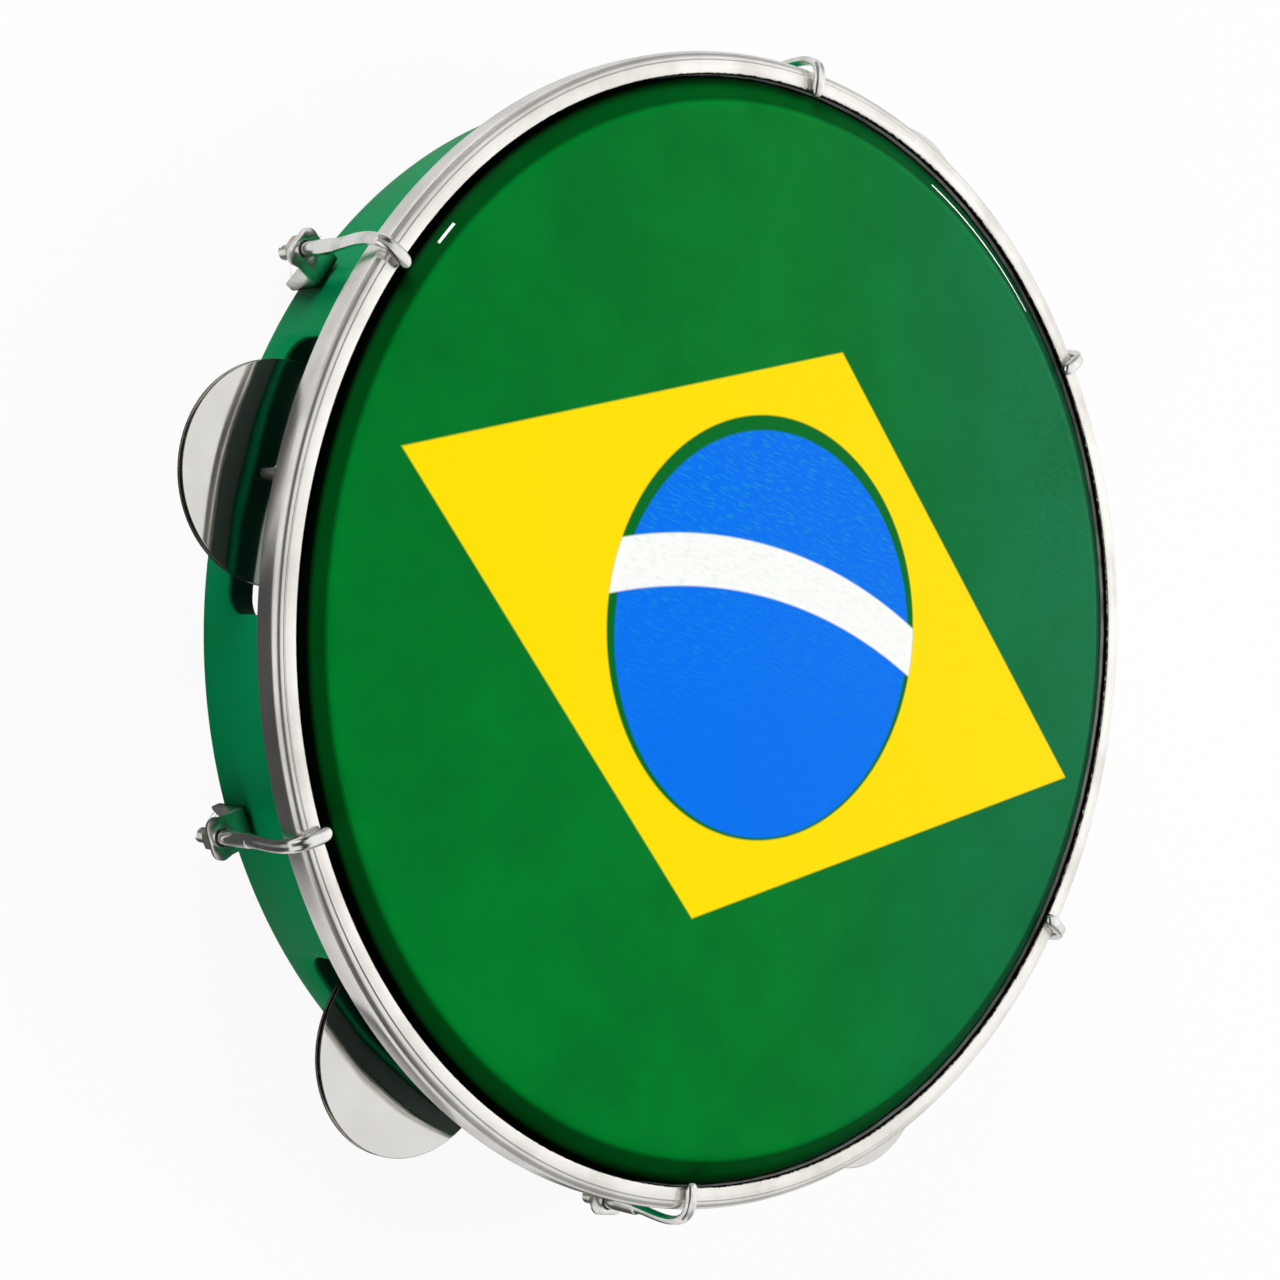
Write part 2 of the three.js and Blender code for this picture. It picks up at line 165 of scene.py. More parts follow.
RIVET_HEIGHT = 5.3
RIVET_HEAD = 2.6
RIVET_SHANK = 1.4
RIVET_DOME = 1.1
RIVET_EDGE = 0.15
RIVET_CLEARANCE = 0.1
RIVET_GAP = 0.1  # under each head
RIVET_CUTTER = 12
DOME_CORNERS = ((0.85, 0.5), (0.5, 0.86))  # as shares of the head's radius and the dome's height


# Helpers for shapes


def arc(x, z, radius, start, end, steps=6):
    """Points of an arc round (x, z), between two angles in degrees."""
    angles = [math.radians(start + (end - start) * step / steps) for step in range(steps + 1)]
    return [(x + radius * math.cos(angle), z + radius * math.sin(angle)) for angle in angles]


def put_in_order(shape):
    """Sorts a shape's edges and faces by their corners. Spinning and extruding leave them in any order."""
    shape.verts.index_update()
    count = len(shape.verts)

    def rank(item):
        first, second, *others = sorted(corner.index for corner in item.verts)
        return (first * count + second) * count + (others[0] if others else 0)

    shape.edges.sort(key=rank)
    shape.faces.sort(key=rank)


def spun(profile, steps, closed=True):
    """A profile of radius and height, spun a full turn round the upright axis."""
    shape = bmesh.new()
    corners = [shape.verts.new((radius, 0, height)) for radius, height in profile]
    following = corners[1:] + corners[:1] if closed else corners[1:]
    edges = [shape.edges.new(pair) for pair in zip(corners, following)]
    bmesh.ops.spin(
        shape,
        geom=corners + edges,
        cent=(0, 0, 0),
        axis=(0, 0, 1),
        angle=math.tau,
        steps=steps,
        use_merge=True,
    )
    bmesh.ops.remove_doubles(shape, verts=shape.verts, dist=WELD)
    put_in_order(shape)
    bmesh.ops.recalc_face_normals(shape, faces=shape.faces)
    return shape


def turned_to(degrees):
    """From a place at the right of the drum to the same place at another angle round it."""
    return Matrix.Rotation(math.radians(degrees), 4, "Z")


def temporary(shape):
    """An object that a modifier can work on, taken away again by the function that made it."""
    mesh = bpy.data.meshes.new("temporary")
    shape.to_mesh(mesh)
    shape.free()
    holder = bpy.data.objects.new("temporary", mesh)
    bpy.context.scene.collection.objects.link(holder)
    return holder


def cut(shape, cutters, operation="DIFFERENCE"):
    """A solid cut by other solids, or kept only inside them."""
    whole = temporary(shape)
    tools = [temporary(cutter) for cutter in cutters]
    for tool in tools:
        modifier = whole.modifiers.new("cut", "BOOLEAN")
        modifier.object = tool
        modifier.operation = operation
        modifier.solver = "EXACT"
    result = bmesh.new()
    result.from_object(whole, bpy.context.evaluated_depsgraph_get())
    for holder in (whole, *tools):
        mesh = holder.data
        bpy.data.objects.remove(holder)
        bpy.data.meshes.remove(mesh)
    return result


def soften(shape, width, degrees=40, segments=2):
    """Bevels the edges that are sharper than an angle."""
    sharp = [
        edge for edge in shape.edges if edge.is_manifold and edge.calc_face_angle() > math.radians(degrees)
    ]
    bmesh.ops.bevel(
        shape, geom=sharp, offset=width, affect="EDGES", segments=segments, profile=0.5, material=-1
    )


def piece(shape, name, material, body, nodes, degrees=0, smooth=35):
    """A finished piece: its shape at its place on the drum, riding on a body and standing for CAD nodes."""
    place = Matrix.Translation(AXIS) @ turned_to(degrees) @ Matrix.Scale(MM, 4)
    bmesh.ops.transform(shape, matrix=place, verts=shape.verts)
    mesh = bpy.data.meshes.new(name)
    shape.to_mesh(mesh)
    shape.free()
    mesh.shade_smooth()
    mesh.set_sharp_from_angle(angle=math.radians(smooth))
    mesh.materials.append(material)
    made = bpy.data.objects.new(name, mesh)
    bpy.context.scene.collection.objects.link(made)
    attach(made, body)
    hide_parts(*nodes)
    return made


# Helpers for materials

MIX_FACTOR, MIX_A, MIX_B, MIX_RESULT = 0, 6, 7, 2  # sockets of a colour Mix node


def colour(text):
    """An sRGB hex value as a linear colour."""
    parts = [int(text[place : place + 2], 16) / 255 for place in (1, 3, 5)]
    return (*[part / 12.92 if part <= 0.04045 else ((part + 0.055) / 1.055) ** 2.4 for part in parts], 1)


def node(tree, kind, inputs=None, **settings):
    """Adds a node with its settings. An input is another node's socket or a value."""
    added = tree.nodes.new(kind)
    for name, value in settings.items():
        setattr(added, name, value)
    for name, value in (inputs or {}).items():
        if isinstance(value, bpy.types.NodeSocket):
            tree.links.new(value, added.inputs[name])
        else:
            added.inputs[name].default_value = value
    return added


def new_material(name):
    material = bpy.data.materials.new(name)
    material.use_nodes = True
    return material, material.node_tree, material.node_tree.nodes["Principled BSDF"]


# Camera


def make_camera():
    data = bpy.data.cameras.new("photo_camera")
    data.sensor_width = CAMERA_SENSOR
    data.lens = CAMERA_LENS
    camera = bpy.data.objects.new("photo_camera", data)
    bpy.context.scene.collection.objects.link(camera)
    turn = Matrix((CAMERA_RIGHT, CAMERA_UP, CAMERA_RIGHT.cross(CAMERA_UP))).transposed()
    camera.matrix_world = Matrix.Translation(HOOP_MIDDLE + CAMERA_PLACE * MM) @ turn.to_4x4()
    bpy.context.scene.camera = camera


make_camera()


# Materials


def drum_coordinates(tree, centre=(0, 0, 0), degrees=0):
    """Object coordinates in millimetres, from a place on the drum and turned round the upright axis."""
    place = AXIS + Vector(centre) * MM
    coordinates = node(tree, "ShaderNodeTexCoord")
    return node(
        tree,
        "ShaderNodeMapping",
        {
            "Vector": coordinates.outputs["Object"],
            "Location": place,
            "Rotation": (0, 0, math.radians(degrees)),
            "Scale": (MM, MM, MM),
        },
        vector_type="TEXTURE",
    ).outputs["Vector"]


def distance_from(tree, place, centre):
    """Distance on the drum's face from a place, with the height left out."""
    flat = node(tree, "ShaderNodeVectorMath", {0: place, 1: (1, 1, 0)}, operation="MULTIPLY")
    apart = node(tree, "ShaderNodeVectorMath", {0: flat.outputs["Vector"], 1: centre}, operation="DISTANCE")
    return apart.outputs["Value"]


# The paint's patterns, and the edges of its painted shade, in millimetres
PAINT_CLOUD = 22
ORANGE_PEEL = 1.6
ORANGE_PEEL_DEPTH = 0.1
SHADE_EDGE_RADII = (SHELL_OUTER - 1, SHELL_OUTER - 0.3)  # radii
SHADE_TOP_HEIGHTS = (21, 24)  # heights under the hoop
HOOP_SHADE_LEVEL = 0.3


def make_shell_paint():
    """Lacquered wood: sprayed satin green paint, deep and even, with a soft wide gloss outside. Its colour
    goes over to a dark green inside the drum and its slots and under the hoop, as painted shade."""
    material, tree, shader = new_material("green_lacquered_wood")
    place = drum_coordinates(tree)
    cloud = node(tree, "ShaderNodeTexNoise", {"Vector": place, "Scale": 1 / PAINT_CLOUD, "Detail": 3})
    paint = node(
        tree,
        "ShaderNodeMix",
        {MIX_FACTOR: cloud.outputs["Fac"], MIX_A: colour("#006C3A"), MIX_B: colour("#007A4B")},
        data_type="RGBA",
    )
    orange_peel = node(tree, "ShaderNodeTexNoise", {"Vector": place, "Scale": 1 / ORANGE_PEEL, "Detail": 2})
    gloss = node(tree, "ShaderNodeMapRange", {"Value": cloud.outputs["Fac"], "To Min": 0.34, "To Max": 0.46})
    bump = node(
        tree,
        "ShaderNodeBump",
        {"Height": orange_peel.outputs["Fac"], "Strength": 0.08, "Distance": ORANGE_PEEL_DEPTH * MM},
    )
    # Painted shade: the paint goes over to a dark green inside the drum, in its slots, at the rounding of the
    # outer edges and under the hoop, where shade falls
    outside_unshaded = node(
        tree,
        "ShaderNodeMapRange",
        {
            "Value": distance_from(tree, place, (0, 0, 0)),
            "From Min": SHADE_EDGE_RADII[0],
            "From Max": SHADE_EDGE_RADII[1],
        },
    )
    height = node(tree, "ShaderNodeSeparateXYZ", {"Vector": place})
    hoop_shade = node(
        tree,
        "ShaderNodeMapRange",
        {
            "Value": height.outputs["Z"],
            "From Min": SHADE_TOP_HEIGHTS[0],
            "From Max": SHADE_TOP_HEIGHTS[1],
            "To Min": 1,
            "To Max": HOOP_SHADE_LEVEL,
        },
    )
    unshaded = node(
        tree,
        "ShaderNodeMath",
        {0: outside_unshaded.outputs["Result"], 1: hoop_shade.outputs["Result"]},
        operation="MULTIPLY",
    )
    layer = node(
        tree,
        "ShaderNodeMix",
        {MIX_FACTOR: unshaded.outputs["Value"], MIX_A: colour("#02261A"), MIX_B: paint.outputs[MIX_RESULT]},
        data_type="RGBA",
    )
    tree.links.new(layer.outputs[MIX_RESULT], shader.inputs["Base Color"])
    tree.links.new(gloss.outputs["Result"], shader.inputs["Roughness"])
    tree.links.new(bump.outputs["Normal"], shader.inputs["Normal"])
    shader.inputs["Specular IOR Level"].default_value = 0.02
    return material


# The flag printed on the film, in millimetres from the drum's axis
LOZENGE_CENTRE = (3.0, 0.6, 0)
LOZENGE_DEGREES = -19.5
LOZENGE_HALF = (107.6, 66.3)
RING_CENTRE = (2.5, 0.9, 0)
RING_RADIUS = 46.9
DISC_CENTRE = (2.7, -0.5, 0)
DISC_RADIUS = 44.95
BAND_INSIDE = (-21.5, -111.6, 0)
BAND_INSIDE_RADIUS = 132.9
BAND_OUTSIDE = (-21.9, -121.8, 0)
BAND_OUTSIDE_RADIUS = 131.7
PRINT_SOFTNESS = 0.25

# The film's finer marks, in the same millimetres
INK_CLOUD = 24
THICK_INK, THIN_INK = 0.32, 0.6  # the cloud's values at which the green is all of one shade
BLUER_FROM, BLUER_TO = 10, 95
GLINT_ROW_DEGREES = -17
DASH_LENGTH, DASH_WIDTH = 3, 0.6
DASH_START, DASH_FULL = 0.5, 0.72  # the noise's values at which a dash starts and is complete
DASH_AMOUNT = 0.2
DASH_BOTTOM, DASH_TOP = -25, 25  # heights on the flag between which the dashes strengthen
DASH_LOW_SHARE = 0.25
DASH_RIGHT_START, DASH_RIGHT_FULL = 60, 95
DASH_RIGHT_SHARE = 0.3
WOOD_SHADE_START, WOOD_SHADE_FULL = 115.4, 116.4
LIP_SHADOW_START, LIP_SHADOW_FULL = 120.7, 121.6
LIP_SHADOW_LEFT = 50  # this far to the left, the painted shadow reaches a millimetre further in
HIGHLIGHT_RADIUS = 117.9
HIGHLIGHT_HALF = 0.26
HIGHLIGHT_ARCS = ((51.5, 10.5), (137.5, 1.4))  # the middle and half length of each painted highlight line, in degrees


def printed_inside(tree, distance, edge):
    """1 on the inner side of a printed edge and 0 outside it, with the screen print's slight softness."""
    ends = {"From Min": edge - PRINT_SOFTNESS, "From Max": edge + PRINT_SOFTNESS, "To Min": 1, "To Max": 0}
    return node(tree, "ShaderNodeMapRange", {"Value": distance, **ends}).outputs["Result"]


def make_head_film():
    """Polyester film, screen printed: flat saturated inks, nearly matt. Light and shade are painted on it
    too:
    glints in dashes, a sheen to the right, shade over the wood, shadow beside the hoop, and highlights along
    two lines of the bend.
    """
    material, tree, shader = new_material("screen_printed_polyester_film")
    place = drum_coordinates(tree)
    lozenge = drum_coordinates(tree, LOZENGE_CENTRE, LOZENGE_DEGREES)

    # The shares along the lozenge's two diagonals add up to less than 1 inside it
    shares = node(
        tree,
        "ShaderNodeVectorMath",
        {0: lozenge, 1: (1 / LOZENGE_HALF[0], 1 / LOZENGE_HALF[1], 0)},
        operation="MULTIPLY",
    )
    sizes = node(tree, "ShaderNodeVectorMath", {0: shares.outputs["Vector"]}, operation="ABSOLUTE")
    both = node(
        tree, "ShaderNodeVectorMath", {0: sizes.outputs["Vector"], 1: (1, 1, 0)}, operation="DOT_PRODUCT"
    )
    side_depth = LOZENGE_HALF[0] * LOZENGE_HALF[1] / math.hypot(*LOZENGE_HALF)
    across = node(tree, "ShaderNodeMath", {0: both.outputs["Value"], 1: side_depth}, operation="MULTIPLY")

    in_lozenge = printed_inside(tree, across.outputs["Value"], side_depth)
    in_ring = printed_inside(tree, distance_from(tree, place, RING_CENTRE), RING_RADIUS)
    in_disc = printed_inside(tree, distance_from(tree, place, DISC_CENTRE), DISC_RADIUS)
    under_top = printed_inside(tree, distance_from(tree, place, BAND_INSIDE), BAND_INSIDE_RADIUS)
    under_band = printed_inside(tree, distance_from(tree, place, BAND_OUTSIDE), BAND_OUTSIDE_RADIUS)
    band = node(tree, "ShaderNodeMath", {0: under_top, 1: under_band}, operation="SUBTRACT", use_clamp=True)
    in_band = node(tree, "ShaderNodeMath", {0: band.outputs["Value"], 1: in_ring}, operation="MULTIPLY")

    # The green ink lies a little thicker in some places than in others. It is a little bluer to the right,
    # with
    # a trace of red: a painted sheen where the film faces the light.
    flag = node(tree, "ShaderNodeSeparateXYZ", {"Vector": place})
    cloud = node(
        tree, "ShaderNodeTexNoise", {"Vector": place, "Scale": 1 / INK_CLOUD, "Detail": 5, "Roughness": 0.6}
    )
    mottle = node(
        tree,
        "ShaderNodeMapRange",
        {"Value": cloud.outputs["Fac"], "From Min": THICK_INK, "From Max": THIN_INK},
    )
    right_sheen = node(
        tree,
        "ShaderNodeMapRange",
        {"Value": flag.outputs["X"], "From Min": BLUER_FROM, "From Max": BLUER_TO},
    )
    shades = [
        node(
            tree,
            "ShaderNodeMix",
            {MIX_FACTOR: mottle.outputs["Result"], MIX_A: colour(thick), MIX_B: colour(thin)},
            data_type="RGBA",
        ).outputs[MIX_RESULT]
        for thick, thin in (("#007025", "#007B2A"), ("#046B3C", "#087243"))
    ]
    green = node(
        tree,
        "ShaderNodeMix",
        {MIX_FACTOR: right_sheen.outputs["Result"], MIX_A: shades[0], MIX_B: shades[1]},
        data_type="RGBA",
    )
    print_colour = green.outputs[MIX_RESULT]
    for mask, ink in (
        (in_lozenge, colour("#FFE002")),
        (in_ring, colour("#026D26")),
        (in_disc, colour("#0271EE")),
        (in_band.outputs["Value"], colour("#FBFBF8")),
    ):
        layer = node(
            tree, "ShaderNodeMix", {MIX_FACTOR: mask, MIX_A: print_colour, MIX_B: ink}, data_type="RGBA"
        )
        print_colour = layer.outputs[MIX_RESULT]

    # Painted glints: short light dashes in slanting rows, where the film's fine ripple catches the light, on
    # the disc's upper half and, fainter, on its lower half and on the green at the right. The real ripple is
    # too fine to show, so they are drawn as coarse as they need to show.
    rows = drum_coordinates(tree, (0, 0, 0), GLINT_ROW_DEGREES)
    stretched = node(
        tree,
        "ShaderNodeVectorMath",
        {0: rows, 1: (1 / DASH_LENGTH, 1 / DASH_WIDTH, 0)},
        operation="MULTIPLY",
    )
    dashes = node(
        tree, "ShaderNodeTexNoise", {"Vector": stretched.outputs["Vector"], "Scale": 1, "Detail": 1.5}
    )
    dash = node(
        tree,
        "ShaderNodeMapRange",
        {"Value": dashes.outputs["Fac"], "From Min": DASH_START, "From Max": DASH_FULL},
    )
    upper = node(
        tree,
        "ShaderNodeMapRange",
        {
            "Value": flag.outputs["Y"],
            "From Min": DASH_BOTTOM,
            "From Max": DASH_TOP,
            "To Min": DASH_LOW_SHARE,
        },
    )
    right = node(
        tree,
        "ShaderNodeMapRange",
        {
            "Value": flag.outputs["X"],
            "From Min": DASH_RIGHT_START,
            "From Max": DASH_RIGHT_FULL,
            "To Max": DASH_RIGHT_SHARE,
        },
    )
    on_right = node(tree, "ShaderNodeMath", {0: right.outputs["Result"], 1: in_lozenge}, operation="SUBTRACT")
    glint_share = node(tree, "ShaderNodeMath", {0: on_right.outputs["Value"], 1: in_disc}, operation="MAXIMUM")
    for factor in (upper.outputs["Result"], dash.outputs["Result"], DASH_AMOUNT):
        glint_share = node(
            tree,
            "ShaderNodeMath",
            {0: glint_share.outputs["Value"], 1: factor},
            operation="MULTIPLY",
            use_clamp=True,
        )
    glinted = node(
        tree,
        "ShaderNodeMix",
        {MIX_FACTOR: glint_share.outputs["Value"], MIX_A: print_colour, MIX_B: colour("#38D090")},
        data_type="RGBA",
    )

    # Painted shade: where the film lies on the wood the ink is darkened, standing in for the light from
    # behind that the wood keeps off. Painted shadow blackens it in the crevice beside the hoop, most of all
    # at the left.
    from_axis = distance_from(tree, place, (0, 0, 0))
    wood_shade_share = node(
        tree, "ShaderNodeMapRange", {"Value": from_axis, "From Min": WOOD_SHADE_START, "From Max": WOOD_SHADE_FULL}
    )
    wood_shade = node(
        tree,
        "ShaderNodeMix",
        {MIX_FACTOR: wood_shade_share.outputs["Result"], MIX_A: (1, 1, 1, 1), MIX_B: colour("#9C9C9C")},
        data_type="RGBA",
    )
    leftwards = node(
        tree,
        "ShaderNodeMath",
        {0: flag.outputs["X"], 1: -1 / LIP_SHADOW_LEFT, 2: from_axis},
        operation="MULTIPLY_ADD",
    )
    lip_shadow = node(
        tree,
        "ShaderNodeMapRange",
        {"Value": leftwards.outputs["Value"], "From Min": LIP_SHADOW_START, "From Max": LIP_SHADOW_FULL},
    )
    lip_shadowed = node(
        tree,
        "ShaderNodeMix",
        {MIX_FACTOR: lip_shadow.outputs["Result"], MIX_A: wood_shade.outputs[MIX_RESULT], MIX_B: colour("#1E1C1A")},
        data_type="RGBA",
    )
    ink = node(
        tree,
        "ShaderNodeMix",
        {MIX_FACTOR: 1, MIX_A: glinted.outputs[MIX_RESULT], MIX_B: lip_shadowed.outputs[MIX_RESULT]},
        data_type="RGBA",
        blend_type="MULTIPLY",
    )

    # Two painted highlight lines, near white, where light glints along the film's bend
    angle = node(tree, "ShaderNodeMath", {0: flag.outputs["Y"], 1: flag.outputs["X"]}, operation="ARCTAN2")
    on_line = node(tree, "ShaderNodeMath", {0: from_axis, 1: HIGHLIGHT_RADIUS, 2: HIGHLIGHT_HALF}, operation="COMPARE")
    wear_and_highlight = 0
    for middle, half in HIGHLIGHT_ARCS:
        along_line = node(
            tree,
            "ShaderNodeMath",
            {0: angle.outputs["Value"], 1: math.radians(middle), 2: math.radians(half)},
            operation="COMPARE",
        )
        wear_and_highlight = node(
            tree, "ShaderNodeMath", {0: wear_and_highlight, 1: along_line.outputs["Value"]}, operation="ADD"
        ).outputs["Value"]
    painted_highlight = node(tree, "ShaderNodeMath", {0: wear_and_highlight, 1: on_line.outputs["Value"]}, operation="MULTIPLY")
    film = node(
        tree,
        "ShaderNodeMix",
        {MIX_FACTOR: painted_highlight.outputs["Value"], MIX_A: ink.outputs[MIX_RESULT], MIX_B: colour("#F2F6F2")},
        data_type="RGBA",
    )
    gloss = node(tree, "ShaderNodeMapRange", {"Value": cloud.outputs["Fac"], "To Min": 0.3, "To Max": 0.42})
    tree.links.new(film.outputs[MIX_RESULT], shader.inputs["Base Color"])
    tree.links.new(gloss.outputs["Result"], shader.inputs["Roughness"])
    shader.inputs["Specular IOR Level"].default_value = 0.008
    return material


# The film's back, in millimetres
MILK_CLOUD = 18
COLLAR_DARK_START, COLLAR_DARK_FULL = SHELL_OUTER - 1.5, SHELL_OUTER


def make_film_back():
    """The film's unprinted back: milky polyester, through which the ink shows a little green, going over to
    a dark grey-green towards the collar round it."""
    material, tree, shader = new_material("milky_polyester_back")
    place = drum_coordinates(tree)
    cloud = node(tree, "ShaderNodeTexNoise", {"Vector": place, "Scale": 1 / MILK_CLOUD, "Detail": 3})
    milk = node(
        tree,
        "ShaderNodeMix",
        {MIX_FACTOR: cloud.outputs["Fac"], MIX_A: colour("#B9CDBD"), MIX_B: colour("#CBDACC")},
        data_type="RGBA",
    )
    towards_collar = node(
        tree,
        "ShaderNodeMapRange",
        {
            "Value": distance_from(tree, place, (0, 0, 0)),
            "From Min": COLLAR_DARK_START,
            "From Max": COLLAR_DARK_FULL,
        },
    )
    back = node(
        tree,
        "ShaderNodeMix",
        {MIX_FACTOR: towards_collar.outputs["Result"], MIX_A: milk.outputs[MIX_RESULT], MIX_B: colour("#3E4A44")},
        data_type="RGBA",
    )
    tree.links.new(back.outputs[MIX_RESULT], shader.inputs["Base Color"])
    shader.inputs["Roughness"].default_value = 0.45
    return material


# The marks that all the plated and bare metals have
SMUDGE_WEIGHT = 3  # against the streaks
TARNISH_START, TARNISH_FULL = 1.7, 2.5  # the sums of smudges and streaks at which the plate darkens
SPECK_SIZE, SPECK_REACH = 1.2, 0.9  # of the ragged edge of the painted shade and dirt, in millimetres
CLEAN_UNSHADED = (0, 1)  # painted shade and dirt that end at the drum's axis, where there is no metal


def make_nickel(name, tint, dark_tint, roughness, streak_length, streak_width, patch, depth, shade_and_dirt=CLEAN_UNSHADED):
    """Nickel plate over rolled steel, or the bare metal: pale warm grey, bright, with soft patches where the
    plate lies thinner and faint lines that the rolling left. A dark brown layer covers it up to one distance
    from the drum's axis and fades out to another: painted shadow in the lugs, and at the hoop's lip dirt and
    painted shade."""
    material, tree, shader = new_material(name)
    place = drum_coordinates(tree)
    parts = node(tree, "ShaderNodeSeparateXYZ", {"Vector": place})
    angle = node(tree, "ShaderNodeMath", {0: parts.outputs["Y"], 1: parts.outputs["X"]}, operation="ARCTAN2")
    radius = distance_from(tree, place, (0, 0, 0))
    along = node(
        tree,
        "ShaderNodeMath",
        {0: angle.outputs["Value"], 1: HOOP_OUTER / streak_length},
        operation="MULTIPLY",
    )
    outward = node(tree, "ShaderNodeMath", {0: radius, 1: 1 / streak_width}, operation="MULTIPLY")
    upward = node(tree, "ShaderNodeMath", {0: parts.outputs["Z"], 1: 1 / streak_width}, operation="MULTIPLY")
    rolled = node(
        tree,
        "ShaderNodeCombineXYZ",
        {"X": along.outputs["Value"], "Y": outward.outputs["Value"], "Z": upward.outputs["Value"]},
    )
    streaks = node(
        tree,
        "ShaderNodeTexNoise",
        {"Vector": rolled.outputs["Vector"], "Scale": 1, "Detail": 5, "Roughness": 0.6},
    )
    smudges = node(tree, "ShaderNodeTexNoise", {"Vector": place, "Scale": 1 / patch, "Detail": 3})
    wear_and_highlight = node(
        tree,
        "ShaderNodeMath",
        {0: smudges.outputs["Fac"], 1: SMUDGE_WEIGHT, 2: streaks.outputs["Fac"]},
        operation="MULTIPLY_ADD",
    )
    tarnish = node(
        tree,
        "ShaderNodeMapRange",
        {"Value": wear_and_highlight.outputs["Value"], "From Min": TARNISH_START, "From Max": TARNISH_FULL},
    )
    plate = node(
        tree,
        "ShaderNodeMix",
        {MIX_FACTOR: tarnish.outputs["Result"], MIX_A: colour(tint), MIX_B: colour(dark_tint)},
        data_type="RGBA",
    )
    # Painted shade: dark brown near the drum's axis, for the shadow inside the lugs and, with dirt, at the
    # hoop's lip
    specks = node(tree, "ShaderNodeTexNoise", {"Vector": place, "Scale": 1 / SPECK_SIZE, "Detail": 3})
    ragged = node(
        tree,
        "ShaderNodeMath",
        {0: specks.outputs["Fac"], 1: SPECK_REACH, 2: radius},
        operation="MULTIPLY_ADD",
    )
    shaded_and_soiled = node(
        tree,
        "ShaderNodeMapRange",
        {
            "Value": ragged.outputs["Value"],
            "From Min": shade_and_dirt[0],
            "From Max": shade_and_dirt[1],
            "To Min": 1,
            "To Max": 0,
        },
    )
    surface = node(
        tree,
        "ShaderNodeMix",
        {MIX_FACTOR: shaded_and_soiled.outputs["Result"], MIX_A: plate.outputs[MIX_RESULT], MIX_B: colour("#2A241E")},
        data_type="RGBA",
    )
    gloss = node(
        tree,
        "ShaderNodeMapRange",
        {"Value": smudges.outputs["Fac"], "To Min": roughness * 0.75, "To Max": roughness * 1.3},
    )
    bump = node(
        tree, "ShaderNodeBump", {"Height": streaks.outputs["Fac"], "Strength": 0.25, "Distance": depth * MM}
    )
    tree.links.new(surface.outputs[MIX_RESULT], shader.inputs["Base Color"])
    tree.links.new(gloss.outputs["Result"], shader.inputs["Roughness"])
    tree.links.new(bump.outputs["Normal"], shader.inputs["Normal"])
    shader.inputs["Metallic"].default_value = 1
    return material


# The jingles' polish, in millimetres
POLISH_RING = 0.8
POLISH_DEPTH = 0.01
BREATH = 9


def make_jingle_nickel():
    """Spun and polished nickel-plated brass: near mirror, with faint rings round the pin from the polish."""
    material, tree, shader = new_material("polished_jingle_nickel")
    place = drum_coordinates(tree)
    from_pin = node(tree, "ShaderNodeAttribute", attribute_name="from_pin")
    rings = node(
        tree,
        "ShaderNodeTexNoise",
        {"W": from_pin.outputs["Fac"], "Scale": 1 / POLISH_RING, "Detail": 3},
        noise_dimensions="1D",
    )
    breath = node(tree, "ShaderNodeTexNoise", {"Vector": place, "Scale": 1 / BREATH, "Detail": 3})
    plate = node(
        tree,
        "ShaderNodeMix",
        {MIX_FACTOR: breath.outputs["Fac"], MIX_A: colour("#F2F0EC"), MIX_B: colour("#DEDBD6")},
        data_type="RGBA",
    )
    gloss = node(tree, "ShaderNodeMapRange", {"Value": breath.outputs["Fac"], "To Min": 0.04, "To Max": 0.12})
    bump = node(
        tree,
        "ShaderNodeBump",
        {"Height": rings.outputs["Fac"], "Strength": 0.1, "Distance": POLISH_DEPTH * MM},
    )
    tree.links.new(plate.outputs[MIX_RESULT], shader.inputs["Base Color"])
    tree.links.new(gloss.outputs["Result"], shader.inputs["Roughness"])
    tree.links.new(bump.outputs["Normal"], shader.inputs["Normal"])
    shader.inputs["Metallic"].default_value = 1
    return material


shell_paint = make_shell_paint()
head_film = make_head_film()
film_back = make_film_back()
# Each metal's tints and roughness, then its streaks' length and width, its patches' size, its lines' depth,
# and for two of them the radii at which the painted shade fades out (shadow in the lugs, dirt and shade at
# the hoop's lip)
hoop_nickel = make_nickel(
    "rolled_hoop_nickel", "#F2EFEA", "#DAD6D0", 0.24, 90, 2.4, 16, 0.005, (122.3, 122.5)
)
hook_nickel = make_nickel("pressed_hook_nickel", "#F8F7F4", "#DDDBD6", 0.14, 9, 1.5, 5, 0.01)
lug_nickel = make_nickel("bent_sheet_nickel", "#F4F3EF", "#D6D4CE", 0.24, 7, 2, 5, 0.01, (122.6, 125.2))
nut_nickel = make_nickel("dull_nut_plate", "#CFCBBE", "#A7A395", 0.42, 3, 1, 3, 0.03)
pin_steel = make_nickel("drawn_pin_steel", "#D4D3D0", "#A9A8A5", 0.3, 1.5, 1, 4, 0.02)
damper_nickel = make_nickel("stamped_damper_plate", "#DCDAD5", "#BBB8B2", 0.28, 5, 2, 6, 0.02)
hoop_wire = make_nickel("flesh_hoop_steel", "#BDBCB9", "#949390", 0.4, 20, 1, 8, 0.03)
jingle_nickel = make_jingle_nickel()
# The jingles' sheared rims are a nearly black metal: painted shade for the dark lines round their edges
shaded_cut_rim = make_nickel("sheared_jingle_rim_painted_dark", "#4A4744", "#33312F", 0.3, 3, 1, 4, 0.01)


# Shell


